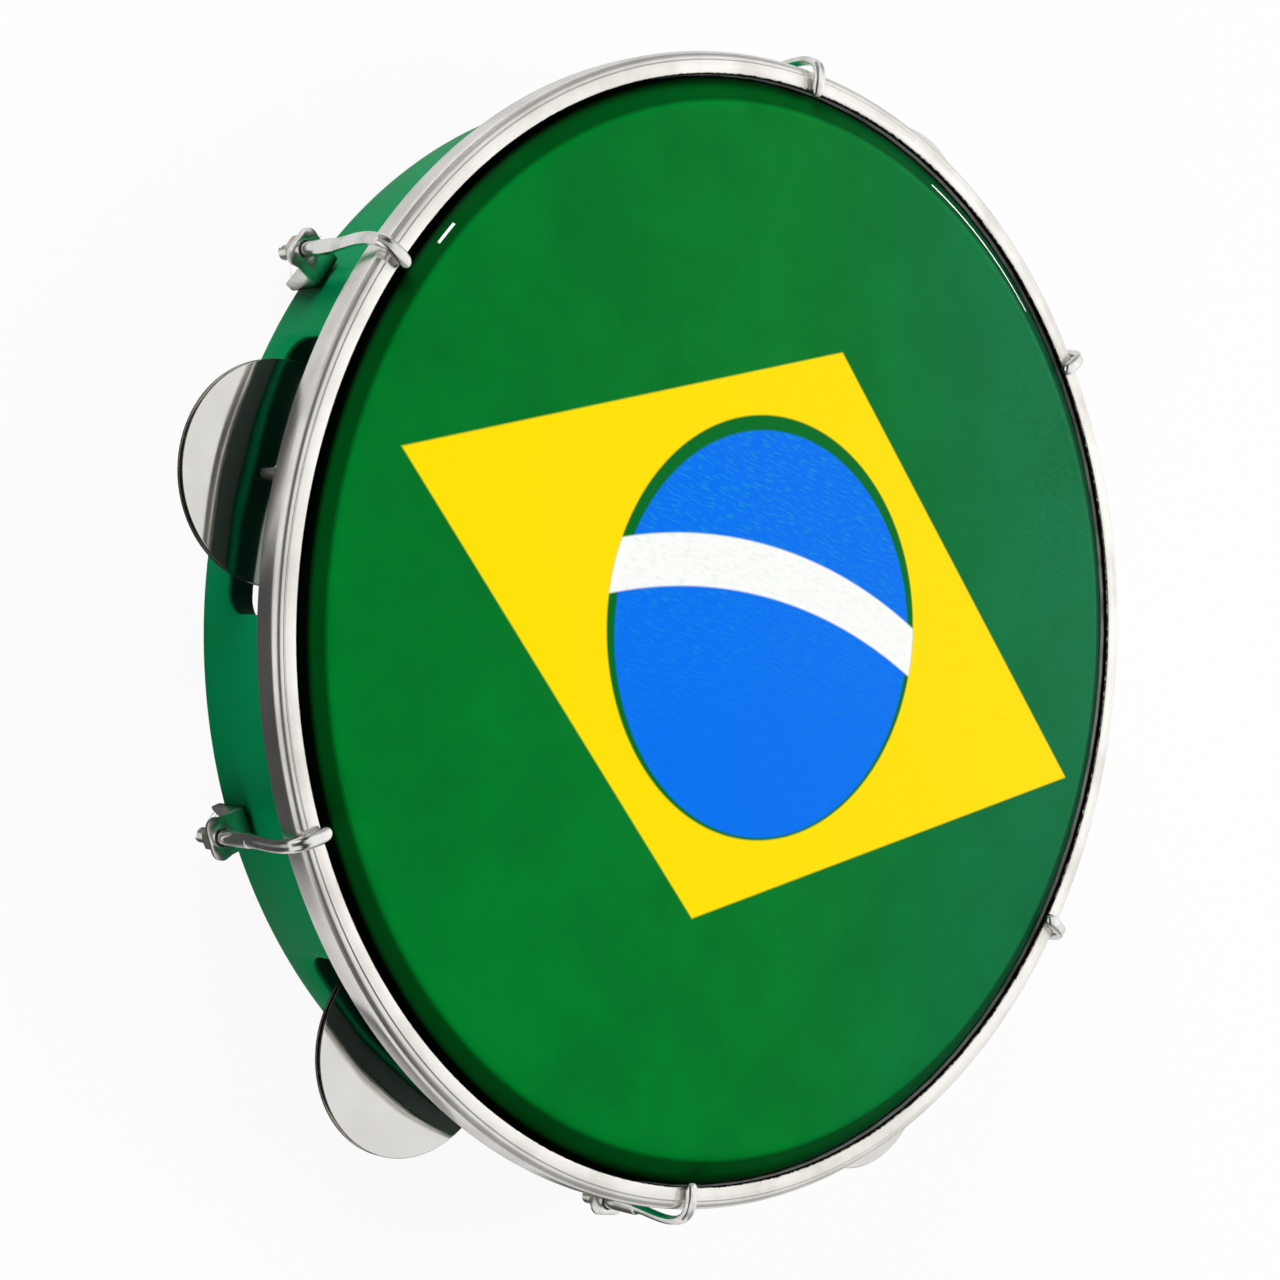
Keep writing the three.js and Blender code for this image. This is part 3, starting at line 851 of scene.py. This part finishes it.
def shell_cutters():
    """The five slots, and the holes for pins and rivets, as three sets of cutters."""
    slots, pin_holes, rivet_holes = bmesh.new(), bmesh.new(), bmesh.new()
    for degrees in SLOT_DEGREES:
        size = Matrix.Diagonal((SLOT_CUTTER, SLOT_LENGTH, SLOT_CEILING - SLOT_FLOOR, 1))
        middle = Matrix.Translation((SHELL_MIDDLE - CUTTER_SHIFT, 0, (SLOT_CEILING + SLOT_FLOOR) / 2))
        box = bmesh.ops.create_cube(slots, size=1, matrix=turned_to(degrees) @ middle @ size)
        outwards = turned_to(degrees) @ Vector((1, 0, 0))
        edges = dict.fromkeys(edge for corner in box["verts"] for edge in corner.link_edges)
        radial = [
            edge
            for edge in edges
            if abs((edge.verts[1].co - edge.verts[0].co).normalized().dot(outwards)) > PARALLEL
        ]
        bmesh.ops.bevel(
            slots, geom=radial, offset=SLOT_CORNER, affect="EDGES", segments=8, profile=0.5, material=-1
        )
        upright = Matrix.Translation((SHELL_MIDDLE, 0, (PIN_HOLE_LOW + PIN_HOLE_HIGH) / 2))
        bmesh.ops.create_cone(
            pin_holes,
            cap_ends=True,
            segments=ROUND_STEPS,
            radius1=PIN_RADIUS + PIN_CLEARANCE,
            radius2=PIN_RADIUS + PIN_CLEARANCE,
            depth=PIN_HOLE_HIGH - PIN_HOLE_LOW,
            matrix=turned_to(degrees) @ upright,
        )
    for degrees in HOOK_DEGREES:
        level = Matrix.Translation((SHELL_MIDDLE, 0, RIVET_HEIGHT)) @ Matrix.Rotation(math.pi / 2, 4, "Y")
        bmesh.ops.create_cone(
            rivet_holes,
            cap_ends=True,
            segments=ROUND_STEPS,
            radius1=RIVET_SHANK + RIVET_CLEARANCE,
            radius2=RIVET_SHANK + RIVET_CLEARANCE,
            depth=RIVET_CUTTER,
            matrix=turned_to(degrees) @ level,
        )
    return slots, pin_holes, rivet_holes


def make_shell():
    profile = [
        *arc(SHELL_OUTER - BACK_ROUNDING, BACK_ROUNDING, BACK_ROUNDING, -90, 0, 3),
        *arc(SHELL_OUTER - CREST_ROUNDING, SHELL_HEIGHT - CREST_FALL - CREST_SPARE, CREST_ROUNDING, 0, 50, 3),
        *[(CREST_RADIUS + outside, SHELL_HEIGHT - below) for outside, below in CREST_POINTS],
        *arc(SHELL_INNER + CREST_ROUNDING, SHELL_HEIGHT - CREST_ROUNDING, CREST_ROUNDING, 90, 180, 4),
        *arc(SHELL_INNER + BACK_ROUNDING, BACK_ROUNDING, BACK_ROUNDING, 180, 270, 3),
    ]
    shell = cut(spun(profile, RING_STEPS), shell_cutters())
    soften(shell, width=0.2)
    piece(shell, "drum_shell", shell_paint, "drum", ["shell"])


# Head


def make_head():
    slope = math.degrees(math.atan2(CREST_FALL, SHELL_OUTER - CREST_RADIUS))
    bend_middle = CREST_RADIUS - FILM_BEND * math.tan(math.radians(slope / 2))
    end_radius = bend_middle + FILM_BEND * math.sin(math.radians(slope))
    end_height = FILM_TOP - FILM_BEND * (1 - math.cos(math.radians(slope)))
    collar_height = end_height - (COLLAR_RADIUS - end_radius) * math.tan(math.radians(slope))
    profile = [
        (0, FILM_TOP),
        *[(radius, FILM_TOP) for radius in FLAT_RINGS],
        *arc(bend_middle, FILM_TOP - FILM_BEND, FILM_BEND, 90, 90 - slope, 8),
        *[(COLLAR_RADIUS + out, collar_height + up) for out, up in COLLAR_OUTSIDE],
        (COLLAR_RADIUS, TUCK_HEIGHT + FILM),
        (TUCK_RADIUS, TUCK_HEIGHT + FILM),
        (TUCK_RADIUS, TUCK_HEIGHT),
        (COLLAR_RADIUS - FILM, TUCK_HEIGHT),
        *[(COLLAR_RADIUS + out, collar_height + up) for out, up in COLLAR_INSIDE],
        *arc(bend_middle, FILM_TOP - FILM_BEND, FILM_BEND - FILM, 90 - slope, 90, 8),
        *[(radius, FILM_TOP - FILM) for radius in reversed(FLAT_RINGS)],
        (0, FILM_TOP - FILM),
    ]
    head = spun(profile, RING_STEPS, closed=False)
    # Faces that look down, or towards the drum's axis, are the film's unprinted back
    for face in head.faces:
        middle = face.calc_center_median()
        outward = Vector((middle.x, middle.y, 0))
        face.material_index = int(face.normal.z < -0.5 or face.normal.dot(outward) < -1)
    film = piece(head, "printed_head", head_film, "drum", ["head"])
    film.data.materials.append(film_back)


# Counter hoop


def make_counter_hoop():
    flange = HOOP_TOP - HOOP_SHEET
    shoulder = (HOOP_OUTER - HOOP_SHOULDER, HOOP_TOP - HOOP_SHOULDER - SHOULDER_DROP)
    bead = shoulder[0] - BEAD_INSET  # the raised bead between the shoulder and the lip
    profile = [
        *arc(HOOP_OUTER - HOOP_EDGE, HOOP_BASE + HOOP_EDGE, HOOP_EDGE, -90, 0, 3),
        *arc(*shoulder, HOOP_SHOULDER, 0, 86, 10),
        (bead + BEAD_FOOT[0], HOOP_TOP - HOOP_BEAD - BEAD_FOOT[1]),
        *arc(bead - HOOP_BEAD, HOOP_TOP - HOOP_BEAD, HOOP_BEAD, 15, 90, 3),
        *arc(HOOP_LIP + LIP_ROUNDING, HOOP_TOP - LIP_ROUNDING, LIP_ROUNDING, 90, 215, 7),
        (HOOP_LIP + LIP_FOOT[0], flange - LIP_FOOT[1]),
        (HOOP_OUTER - HOOP_SHEET, flange - FLANGE_FALL),
        *arc(HOOP_OUTER - HOOP_SHEET + HOOP_EDGE, HOOP_BASE + HOOP_EDGE, HOOP_EDGE, 180, 270, 3),
    ]
    hoop = spun(profile, RING_STEPS)
    piece(hoop, "rolled_counter_hoop", hoop_nickel, "drum", ["counter_hoop"], smooth=50)


# Hooks

RING_CORNERS = 12
RING_GAIN = 6 / (4 + 2 * math.cos(math.tau / RING_CORNERS))  # subdividing draws a ring of corners in
# Radius and height along the hook, and its half width and half thickness there
HOOK_STATIONS = (
    (ROD_AXIS, THREAD_TOP - 1.0, 1.30, 1.30),
    (ROD_AXIS, THREAD_TOP, 1.32, 1.32),
    (ROD_AXIS, THREAD_TOP + 0.4, ROD_RADIUS, ROD_RADIUS),
    (ROD_AXIS, 14.5, ROD_RADIUS, ROD_RADIUS),
    (ROD_AXIS, 19.1, ROD_RADIUS, ROD_RADIUS),
    (ROD_AXIS, 19.5, ROD_RADIUS, 1.55),
    (ROD_AXIS, 19.9, 1.56, 1.3),
    (128.85, 20.6, 1.5, 1.16),
    (129.0, 22.2, 1.48, 1.1),
    (129.25, 24.4, 1.46, 1.1),
    (129.55, 27.0, 1.45, 1.1),
    (129.68, 29.4, 1.45, 1.1),
    (129.6, 31.8, 1.46, 1.1),
    (129.1, 33.8, 1.48, 1.1),
    (128.3, 35.2, 1.5, 1.1),
    (127.2, 36.0, 1.52, 1.08),
    (125.6, 36.45, 1.55, 1.08),
    (123.9, 36.5, 1.6, 1.08),
    (122.4, 36.35, 1.66, 1.08),
    (121.5, 36.2, 1.5, 1.0),
    (120.85, 36.05, 1.05, 0.75),
    (120.55, 35.98, 0.5, 0.4),
)
GROOVED = range(8, 17)  # the stations where the claw's outer face has a shallow groove
GROOVE_SHARE = 0.45  # of the claw's half thickness


def hook_place(index):
    """The place and lie of one station's ring, upright at first and leaning in over the hoop at the end."""
    before = HOOK_STATIONS[max(index - 1, 0)]
    after = HOOK_STATIONS[min(index + 1, len(HOOK_STATIONS) - 1)]
    radius, height, width, thickness = HOOK_STATIONS[index]
    lean = math.atan2(after[0] - before[0], after[1] - before[1])
    size = Matrix.Diagonal((thickness * RING_GAIN, width * RING_GAIN, 1, 1))
    return Matrix.Translation((radius, 0, height)) @ Matrix.Rotation(lean, 4, "Y") @ size


def make_claw():
    """The rod above its thread and the claw pressed flat from it: a ring of corners drawn along its path."""
    shape = bmesh.new()
    bmesh.ops.create_circle(shape, cap_ends=True, segments=RING_CORNERS, radius=1, matrix=hook_place(0))
    edges = shape.edges[:]
    grooved = []
    for index in range(1, len(HOOK_STATIONS)):
        drawn = bmesh.ops.extrude_edge_only(shape, edges=edges)["geom"]
        corners = [item for item in drawn if isinstance(item, bmesh.types.BMVert)]
        edges = [item for item in drawn if isinstance(item, bmesh.types.BMEdge)]
        edges = [edge for edge in edges if edge.verts[0] in corners and edge.verts[1] in corners]
        move = hook_place(index) @ hook_place(index - 1).inverted()
        bmesh.ops.transform(shape, matrix=move, verts=corners)
        if index in GROOVED:
            grooved.append((hook_place(index), corners))
    bmesh.ops.contextual_create(shape, geom=edges)
    for place, corners in grooved:
        outermost = max(corners, key=lambda corner: (place.inverted() @ corner.co).x)
        inwards = place.to_3x3() @ Vector((-GROOVE_SHARE, 0, 0))
        bmesh.ops.translate(shape, vec=inwards, verts=[outermost])
    put_in_order(shape)
    bmesh.ops.recalc_face_normals(shape, faces=shape.faces)
    return shape


def make_thread():
    """The thread as one ridge wound round the rod's core, with the pitch of the real screw."""
    shape = bmesh.new()
    turns = (THREAD_TOP - ROD_LOW) / THREAD_PITCH
    profile = (
        (ROD_RADIUS - THREAD_DEPTH, 0),
        *[(ROD_RADIUS, THREAD_PITCH * share) for share in THREAD_FLAT],
        (ROD_RADIUS - THREAD_DEPTH, THREAD_PITCH),
    )
    start = ROD_LOW - THREAD_PITCH / 2
    corners = [shape.verts.new((radius, 0, start + height)) for radius, height in profile]
    edges = [shape.edges.new(pair) for pair in zip(corners, corners[1:])]
    steps = round(turns * THREAD_STEPS)
    bmesh.ops.spin(
        shape,
        geom=corners + edges,
        cent=(0, 0, 0),
        axis=(0, 0, 1),
        dvec=(0, 0, THREAD_PITCH / THREAD_STEPS),
        angle=math.tau * steps / THREAD_STEPS,
        steps=steps,
    )
    bmesh.ops.remove_doubles(shape, verts=shape.verts, dist=THREAD_WELD)
    core = ROD_RADIUS - THREAD_DEPTH + THREAD_OVERLAP
    bmesh.ops.create_cone(
        shape,
        cap_ends=True,
        segments=THREAD_STEPS,
        radius1=core - ROD_POINT,
        radius2=core,
        depth=THREAD_TOP - ROD_LOW,
        matrix=Matrix.Translation((0, 0, (THREAD_TOP + ROD_LOW) / 2)),
    )
    bmesh.ops.translate(shape, vec=(ROD_AXIS, 0, 0), verts=shape.verts)
    return shape


def make_hooks():
    for number, degrees in enumerate(HOOK_DEGREES, 1):
        body = f"hook_{number}"
        claw = piece(make_claw(), f"claw_{number}", hook_nickel, body, [body], degrees)
        smooth = claw.modifiers.new("smooth", "SUBSURF")
        smooth.levels = smooth.render_levels = 2
        piece(make_thread(), f"thread_{number}", hook_nickel, body, [body], degrees, smooth=25)


# Nuts


def make_nuts():
    for number, degrees in enumerate(HOOK_DEGREES, 1):
        corner = NUT_FLATS / math.sqrt(3)
        prism = bmesh.new()
        bmesh.ops.create_cone(
            prism,
            cap_ends=True,
            segments=6,
            radius1=corner,
            radius2=corner,
            depth=NUT_HIGH - NUT_LOW,
            matrix=Matrix.Translation((0, 0, (NUT_HIGH + NUT_LOW) / 2)),
        )
        chamfer = spun(
            [
                (0, NUT_LOW),
                (NUT_FLATS / 2, NUT_LOW),
                (corner + NUT_SPARE, NUT_LOW + NUT_CHAMFER),
                (corner + NUT_SPARE, NUT_HIGH - NUT_CHAMFER),
                (NUT_FLATS / 2, NUT_HIGH),
                (0, NUT_HIGH),
            ],
            48,
            closed=False,
        )
        rounded = cut(prism, [chamfer], "INTERSECT")
        bore = spun(
            [
                (0, NUT_LOW - MOUTH_OUTSIDE),
                (NUT_BORE + NUT_MOUTH, NUT_LOW - MOUTH_OUTSIDE),
                (NUT_BORE, NUT_LOW + MOUTH_DEPTH),
                (NUT_BORE, NUT_HIGH - MOUTH_DEPTH),
                (NUT_BORE + NUT_MOUTH, NUT_HIGH + MOUTH_OUTSIDE),
                (0, NUT_HIGH + MOUTH_OUTSIDE),
            ],
            ROUND_STEPS,
            closed=False,
        )
        nut = cut(rounded, [bore])
        bmesh.ops.translate(nut, vec=(ROD_AXIS, 0, 0), verts=nut.verts)
        body = f"nut_{number}"
        piece(nut, f"hex_nut_{number}", nut_nickel, body, [body], degrees)


# Lugs and rivets


def make_lugs():
    for number, degrees in enumerate(HOOK_DEGREES, 1):
        half = (LUG_WIDTH - LUG_SHEET) / 2
        low, high = LUG_BASE + LUG_SHEET / 2, LUG_TOP - LUG_SHEET / 2
        outer = LUG_OUTER - LUG_CORNER
        sheet = bmesh.new()
        side = [sheet.verts.new((low, turn * half, high)) for turn in (1, -1)]
        wing = [sheet.verts.new((WING_END, turn * half, high)) for turn in (1, -1)]
        foot = [sheet.verts.new((low, turn * half, LUG_FOOT)) for turn in (1, -1)]
        wing_foot = [sheet.verts.new((WING_FOOT, turn * half, LUG_FOOT)) for turn in (1, -1)]
        round_end = [
            sheet.verts.new((x, y, high))
            for x, y in (
                *arc(outer, -half - LUG_SHEET / 2 + LUG_CORNER, LUG_CORNER, -90, 0, 5),
                *arc(outer, half + LUG_SHEET / 2 - LUG_CORNER, LUG_CORNER, 0, 90, 5),
            )
        ]
        sheet.faces.new((side[0], side[1], wing[1], *round_end, wing[0]))
        sheet.faces.new((side[1], side[0], foot[0], foot[1]))
        sheet.faces.new((side[0], wing[0], wing_foot[0], foot[0]))
        sheet.faces.new((side[1], foot[1], wing_foot[1], wing[1]))
        bends = [edge for edge in sheet.edges if len(edge.link_faces) == 2]
        bmesh.ops.recalc_face_normals(sheet, faces=sheet.faces)
        bmesh.ops.bevel(
            sheet, geom=bends, offset=LUG_BEND, affect="EDGES", segments=4, profile=0.5, material=-1
        )
        bmesh.ops.solidify(sheet, geom=sheet.faces[:], thickness=LUG_SHEET)
        bmesh.ops.recalc_face_normals(sheet, faces=sheet.faces)
        holes = bmesh.new()
        bmesh.ops.create_cone(
            holes,
            cap_ends=True,
            segments=ROUND_STEPS,
            radius1=ROD_RADIUS + LUG_HOLE_CLEARANCE,
            radius2=ROD_RADIUS + LUG_HOLE_CLEARANCE,
            depth=LUG_CUTTER,
            matrix=Matrix.Translation((ROD_AXIS, 0, LUG_TOP)),
        )
        bmesh.ops.create_cone(
            holes,
            cap_ends=True,
            segments=ROUND_STEPS,
            radius1=RIVET_SHANK + RIVET_CLEARANCE,
            radius2=RIVET_SHANK + RIVET_CLEARANCE,
            depth=LUG_CUTTER,
            matrix=Matrix.Translation((LUG_BASE, 0, RIVET_HEIGHT)) @ Matrix.Rotation(math.pi / 2, 4, "Y"),
        )
        lug = cut(sheet, [holes])
        soften(lug, width=0.14, degrees=50)
        piece(lug, f"bent_lug_{number}", lug_nickel, "drum", [f"lug_{number}"], degrees)


def make_rivets():
    outer_seat = LUG_BASE + LUG_SHEET + RIVET_GAP
    inner_seat = SHELL_INNER - RIVET_GAP
    for number, degrees in enumerate(HOOK_DEGREES, 1):
        profile = [
            (0, inner_seat - RIVET_DOME),
            *[(RIVET_HEAD * wide, inner_seat - RIVET_DOME * high) for wide, high in reversed(DOME_CORNERS)],
            (RIVET_HEAD, inner_seat - RIVET_EDGE),
            (RIVET_HEAD, inner_seat),
            (RIVET_SHANK, inner_seat),
            (RIVET_SHANK, outer_seat),
            (RIVET_HEAD, outer_seat),
            (RIVET_HEAD, outer_seat + RIVET_EDGE),
            *[(RIVET_HEAD * wide, outer_seat + RIVET_DOME * high) for wide, high in DOME_CORNERS],
            (0, outer_seat + RIVET_DOME),
        ]
        rivet = spun(profile, ROUND_STEPS, closed=False)
        lie = Matrix.Translation((0, 0, RIVET_HEIGHT)) @ Matrix.Rotation(math.pi / 2, 4, "Y")
        bmesh.ops.transform(rivet, matrix=lie, verts=rivet.verts)
        piece(rivet, f"dome_rivet_{number}", lug_nickel, "drum", [f"rivet_{number}"], degrees)


# Jingle sets


def cup_height(radius):
    """The shallow cup's height above its boss."""
    return JINGLE_CUP * (radius - JINGLE_BOSS) / (JINGLE_RADIUS - JINGLE_BOSS)


def make_jingle(opens_up):
    half = JINGLE_SHEET / 2
    radii = [JINGLE_BOSS, (JINGLE_BOSS + JINGLE_RADIUS) / 2, JINGLE_RADIUS - half]
    inner = [(radius, cup_height(radius)) for radius in radii]
    outer = [(radius, cup_height(radius) - JINGLE_SHEET) for radius in radii]
    rim = arc(JINGLE_RADIUS - half, cup_height(JINGLE_RADIUS - half) - half, half, -60, 60, 3)
    profile = [(JINGLE_HOLE, -JINGLE_SHEET), *outer, *rim, *reversed(inner), (JINGLE_HOLE, 0)]
    jingle = spun(profile, JINGLE_STEPS)
    offset = JINGLE_GAP / 2 + JINGLE_CUP
    flip = Matrix.Identity(4) if opens_up else Matrix.Rotation(math.pi, 4, "X")
    lift = JINGLE_MIDDLE + (-offset if opens_up else offset)
    bmesh.ops.transform(jingle, matrix=Matrix.Translation((0, 0, lift)) @ flip, verts=jingle.verts)
    layer = jingle.verts.layers.float.new("from_pin")
    for corner in jingle.verts:
        corner[layer] = corner.co.xy.length
    for face in jingle.faces:
        face.material_index = int(abs(face.normal.z) < RIM_SLOPE)
    bmesh.ops.translate(jingle, vec=(SHELL_MIDDLE, 0, 0), verts=jingle.verts)
    return jingle


def make_damper():
    low = JINGLE_MIDDLE - JINGLE_GAP / 2 - JINGLE_CUP + cup_height(DAMPER_RADIUS) + DAMPER_GAP
    half = DAMPER_SHEET / 2
    hole, rounding = JINGLE_HOLE + DAMPER_HOLE_ROUNDING, DAMPER_HOLE_ROUNDING
    profile = [
        *arc(hole, low + rounding, rounding, 180, 270, 2),
        *arc(DAMPER_RADIUS - half, low + half, half, -90, 90, 4),
        *arc(hole, low + DAMPER_SHEET - rounding, rounding, 90, 180, 2),
    ]
    damper = spun(profile, JINGLE_STEPS)
    bmesh.ops.translate(damper, vec=(SHELL_MIDDLE, 0, 0), verts=damper.verts)
    return damper


def make_pin():
    profile = [
        (0, PIN_LOW),
        (PIN_RADIUS - PIN_CHAMFER, PIN_LOW),
        (PIN_RADIUS, PIN_LOW + PIN_CHAMFER),
        (PIN_RADIUS, PIN_HIGH - PIN_CHAMFER),
        (PIN_RADIUS - PIN_CHAMFER, PIN_HIGH),
        (0, PIN_HIGH),
    ]
    pin = spun(profile, ROUND_STEPS, closed=False)
    bmesh.ops.translate(pin, vec=(SHELL_MIDDLE, 0, 0), verts=pin.verts)
    return pin


def make_jingle_sets():
    for number, degrees in enumerate(SLOT_DEGREES, 1):
        for shape, kind, material, slot in (
            (make_pin(), "pin", pin_steel, "pin_steel"),
            (make_jingle(True), "jingle_lower", jingle_nickel, "jingle_nickel"),
            (make_damper(), "damper", damper_nickel, "damper_nickel"),
            (make_jingle(False), "jingle_upper", jingle_nickel, "jingle_nickel"),
        ):
            body = f"{kind}_{number}"
            made = piece(shape, f"fine_{body}", material, body, [body], degrees)
            if material == jingle_nickel:
                made.data.materials.append(shaded_cut_rim)


make_shell()
make_head()
make_counter_hoop()
make_hooks()
make_nuts()
make_lugs()
make_rivets()
make_jingle_sets()

# The flesh hoop keeps its CAD shape, since the counter hoop hides it
flesh_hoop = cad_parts["flesh_hoop"]
flesh_hoop.data.materials.clear()
flesh_hoop.data.materials.append(hoop_wire)


# Floor and light

FLOOR_SIZE = 4  # in metres, as is its depth under the drum's back edge
FLOOR_DEPTH = 0.0002
PAPER_FIBRES = 3
FLOOR_GLOW = 0.93  # the share of the floor's white that is seen without shadow
# Unlit places of the floor, as metal sees it: the middle of each, from the drum's axis, and the distances
# from that middle between which the light comes back
DARK_PLACES = (((-160, -24, 0), 38, 70), ((-230, -60, 0), 40, 100), ((-12, -143, 0), 16, 34))
DARK_LEVEL, LIGHT_LEVEL = 0.06, 0.72
OPEN_BACK = (100, 113)  # within these distances of the axis, the floor gives light to the drum's inside
# Soft lights on matt surfaces: the direction they come from, the cosine at which each starts, its strength
SOFT_LIGHTS = (
    ((0.90, 0.10, 0.44), 0.9, 12),
    ((-0.30, 0.94, 0.15), 0.85, 12.5),
    ((-0.45, -0.88, 0.10), 0.85, 6.5),
)
FILL_LIGHT = 0.04
# The room as metal sees it: white, with a dark gap behind the camera and greyer ends
DARK_GAP = -0.36
GAP_NEAR, GAP_FAR = 0.12, 0.45
ROOM_DARK, ROOM_LIGHT = 0.04, 0.86
ENDS_NEAR, ENDS_FAR = 0.4, 0.75
ENDS_LEVEL = 0.4


def make_floor():
    """Matt white paper: its colour is the background, and it keeps a soft shadow."""
    material, tree, shader = new_material("white_paper_floor")
    place = drum_coordinates(tree)
    fibres = node(tree, "ShaderNodeTexNoise", {"Vector": place, "Scale": 1 / PAPER_FIBRES, "Detail": 2})
    paper = node(
        tree,
        "ShaderNodeMix",
        {MIX_FACTOR: fibres.outputs["Fac"], MIX_A: colour("#F4F4F4"), MIX_B: colour("#FAFAFA")},
        data_type="RGBA",
    )
    tree.links.new(paper.outputs[MIX_RESULT], shader.inputs["Base Color"])
    shader.inputs["Roughness"].default_value = 0.9
    shader.inputs["Specular IOR Level"].default_value = 0

    # Metal sees the floor as white paper too, but dark where the drum and the camera keep the light off
    reflected = LIGHT_LEVEL
    for centre, near, far in DARK_PLACES:
        unlit = node(
            tree,
            "ShaderNodeMapRange",
            {
                "Value": distance_from(tree, place, centre),
                "From Min": near,
                "From Max": far,
                "To Min": DARK_LEVEL,
            },
            interpolation_type="SMOOTHSTEP",
        )
        reflected = node(
            tree, "ShaderNodeMath", {0: reflected, 1: unlit.outputs["Result"]}, operation="MULTIPLY"
        ).outputs["Value"]
    rays = node(tree, "ShaderNodeLightPath")
    strength = node(tree, "ShaderNodeMix", {0: rays.outputs["Is Glossy Ray"], 2: 1.0, 3: reflected})
    glow = node(tree, "ShaderNodeEmission", {"Strength": strength.outputs[0]})
    from_axis = distance_from(tree, place, (0, 0, 0))
    under_back = node(
        tree,
        "ShaderNodeMapRange",
        {"Value": from_axis, "From Min": OPEN_BACK[0], "From Max": OPEN_BACK[1], "To Min": 1, "To Max": 0},
    )
    share = under_back.outputs["Result"]
    for kind in ("Is Camera Ray", "Is Glossy Ray"):
        share = node(
            tree, "ShaderNodeMath", {0: share, 1: rays.outputs[kind]}, operation="ADD", use_clamp=True
        ).outputs["Value"]
    glowing = node(tree, "ShaderNodeMath", {0: share, 1: FLOOR_GLOW}, operation="MULTIPLY")
    blend = node(
        tree,
        "ShaderNodeMixShader",
        {0: glowing.outputs["Value"], 1: shader.outputs["BSDF"], 2: glow.outputs["Emission"]},
    )
    tree.links.new(blend.outputs["Shader"], tree.nodes["Material Output"].inputs["Surface"])
    sheet = bmesh.new()
    under = Matrix.Translation((0, 0, -FLOOR_DEPTH))
    bmesh.ops.create_grid(sheet, x_segments=1, y_segments=1, size=FLOOR_SIZE, matrix=under)
    mesh = bpy.data.meshes.new("floor")
    sheet.to_mesh(mesh)
    sheet.free()
    mesh.materials.append(material)
    floor = bpy.data.objects.new("floor", mesh)
    bpy.context.scene.collection.objects.link(floor)


def make_world():
    """White to the camera. Matt surfaces get three soft lights, and metal sees the white room."""
    world = bpy.data.worlds.new("soft_studio")
    world.use_nodes = True
    bpy.context.scene.world = world
    tree = world.node_tree
    direction = node(tree, "ShaderNodeTexCoord").outputs["Generated"]

    matt = FILL_LIGHT
    for place, start, strength in SOFT_LIGHTS:
        towards = Vector(place).normalized()
        facing = node(tree, "ShaderNodeVectorMath", {0: direction, 1: towards}, operation="DOT_PRODUCT")
        light = node(
            tree,
            "ShaderNodeMapRange",
            {"Value": facing.outputs["Value"], "From Min": start, "To Max": strength},
            interpolation_type="SMOOTHSTEP",
        )
        matt = node(
            tree, "ShaderNodeMath", {0: matt, 1: light.outputs["Result"]}, operation="ADD"
        ).outputs["Value"]

    sides = node(tree, "ShaderNodeSeparateXYZ", {"Vector": direction})
    from_gap = node(tree, "ShaderNodeMath", {0: sides.outputs["X"], 1: DARK_GAP}, operation="SUBTRACT")
    apart = node(tree, "ShaderNodeMath", {0: from_gap.outputs["Value"]}, operation="ABSOLUTE")
    room = node(
        tree,
        "ShaderNodeMapRange",
        {
            "Value": apart.outputs["Value"],
            "From Min": GAP_NEAR,
            "From Max": GAP_FAR,
            "To Min": ROOM_DARK,
            "To Max": ROOM_LIGHT,
        },
        interpolation_type="SMOOTHSTEP",
    )
    endwards = node(tree, "ShaderNodeMath", {0: sides.outputs["Y"]}, operation="ABSOLUTE")
    ends = node(
        tree,
        "ShaderNodeMapRange",
        {
            "Value": endwards.outputs["Value"],
            "From Min": ENDS_NEAR,
            "From Max": ENDS_FAR,
            "To Min": 1,
            "To Max": ENDS_LEVEL,
        },
        interpolation_type="SMOOTHSTEP",
    )
    metal = node(
        tree,
        "ShaderNodeMath",
        {0: room.outputs["Result"], 1: ends.outputs["Result"]},
        operation="MULTIPLY",
    )
    rays = node(tree, "ShaderNodeLightPath")
    lit = node(tree, "ShaderNodeMix", {0: rays.outputs["Is Glossy Ray"], 2: matt, 3: metal.outputs["Value"]})
    strength = node(tree, "ShaderNodeMix", {0: rays.outputs["Is Camera Ray"], 2: lit.outputs[0], 3: 1.0})
    background = tree.nodes["Background"]
    background.inputs["Color"].default_value = (1, 1, 1, 1)
    tree.links.new(strength.outputs[0], background.inputs["Strength"])


make_floor()
make_world()

bpy.context.scene.view_settings.view_transform = "Standard"
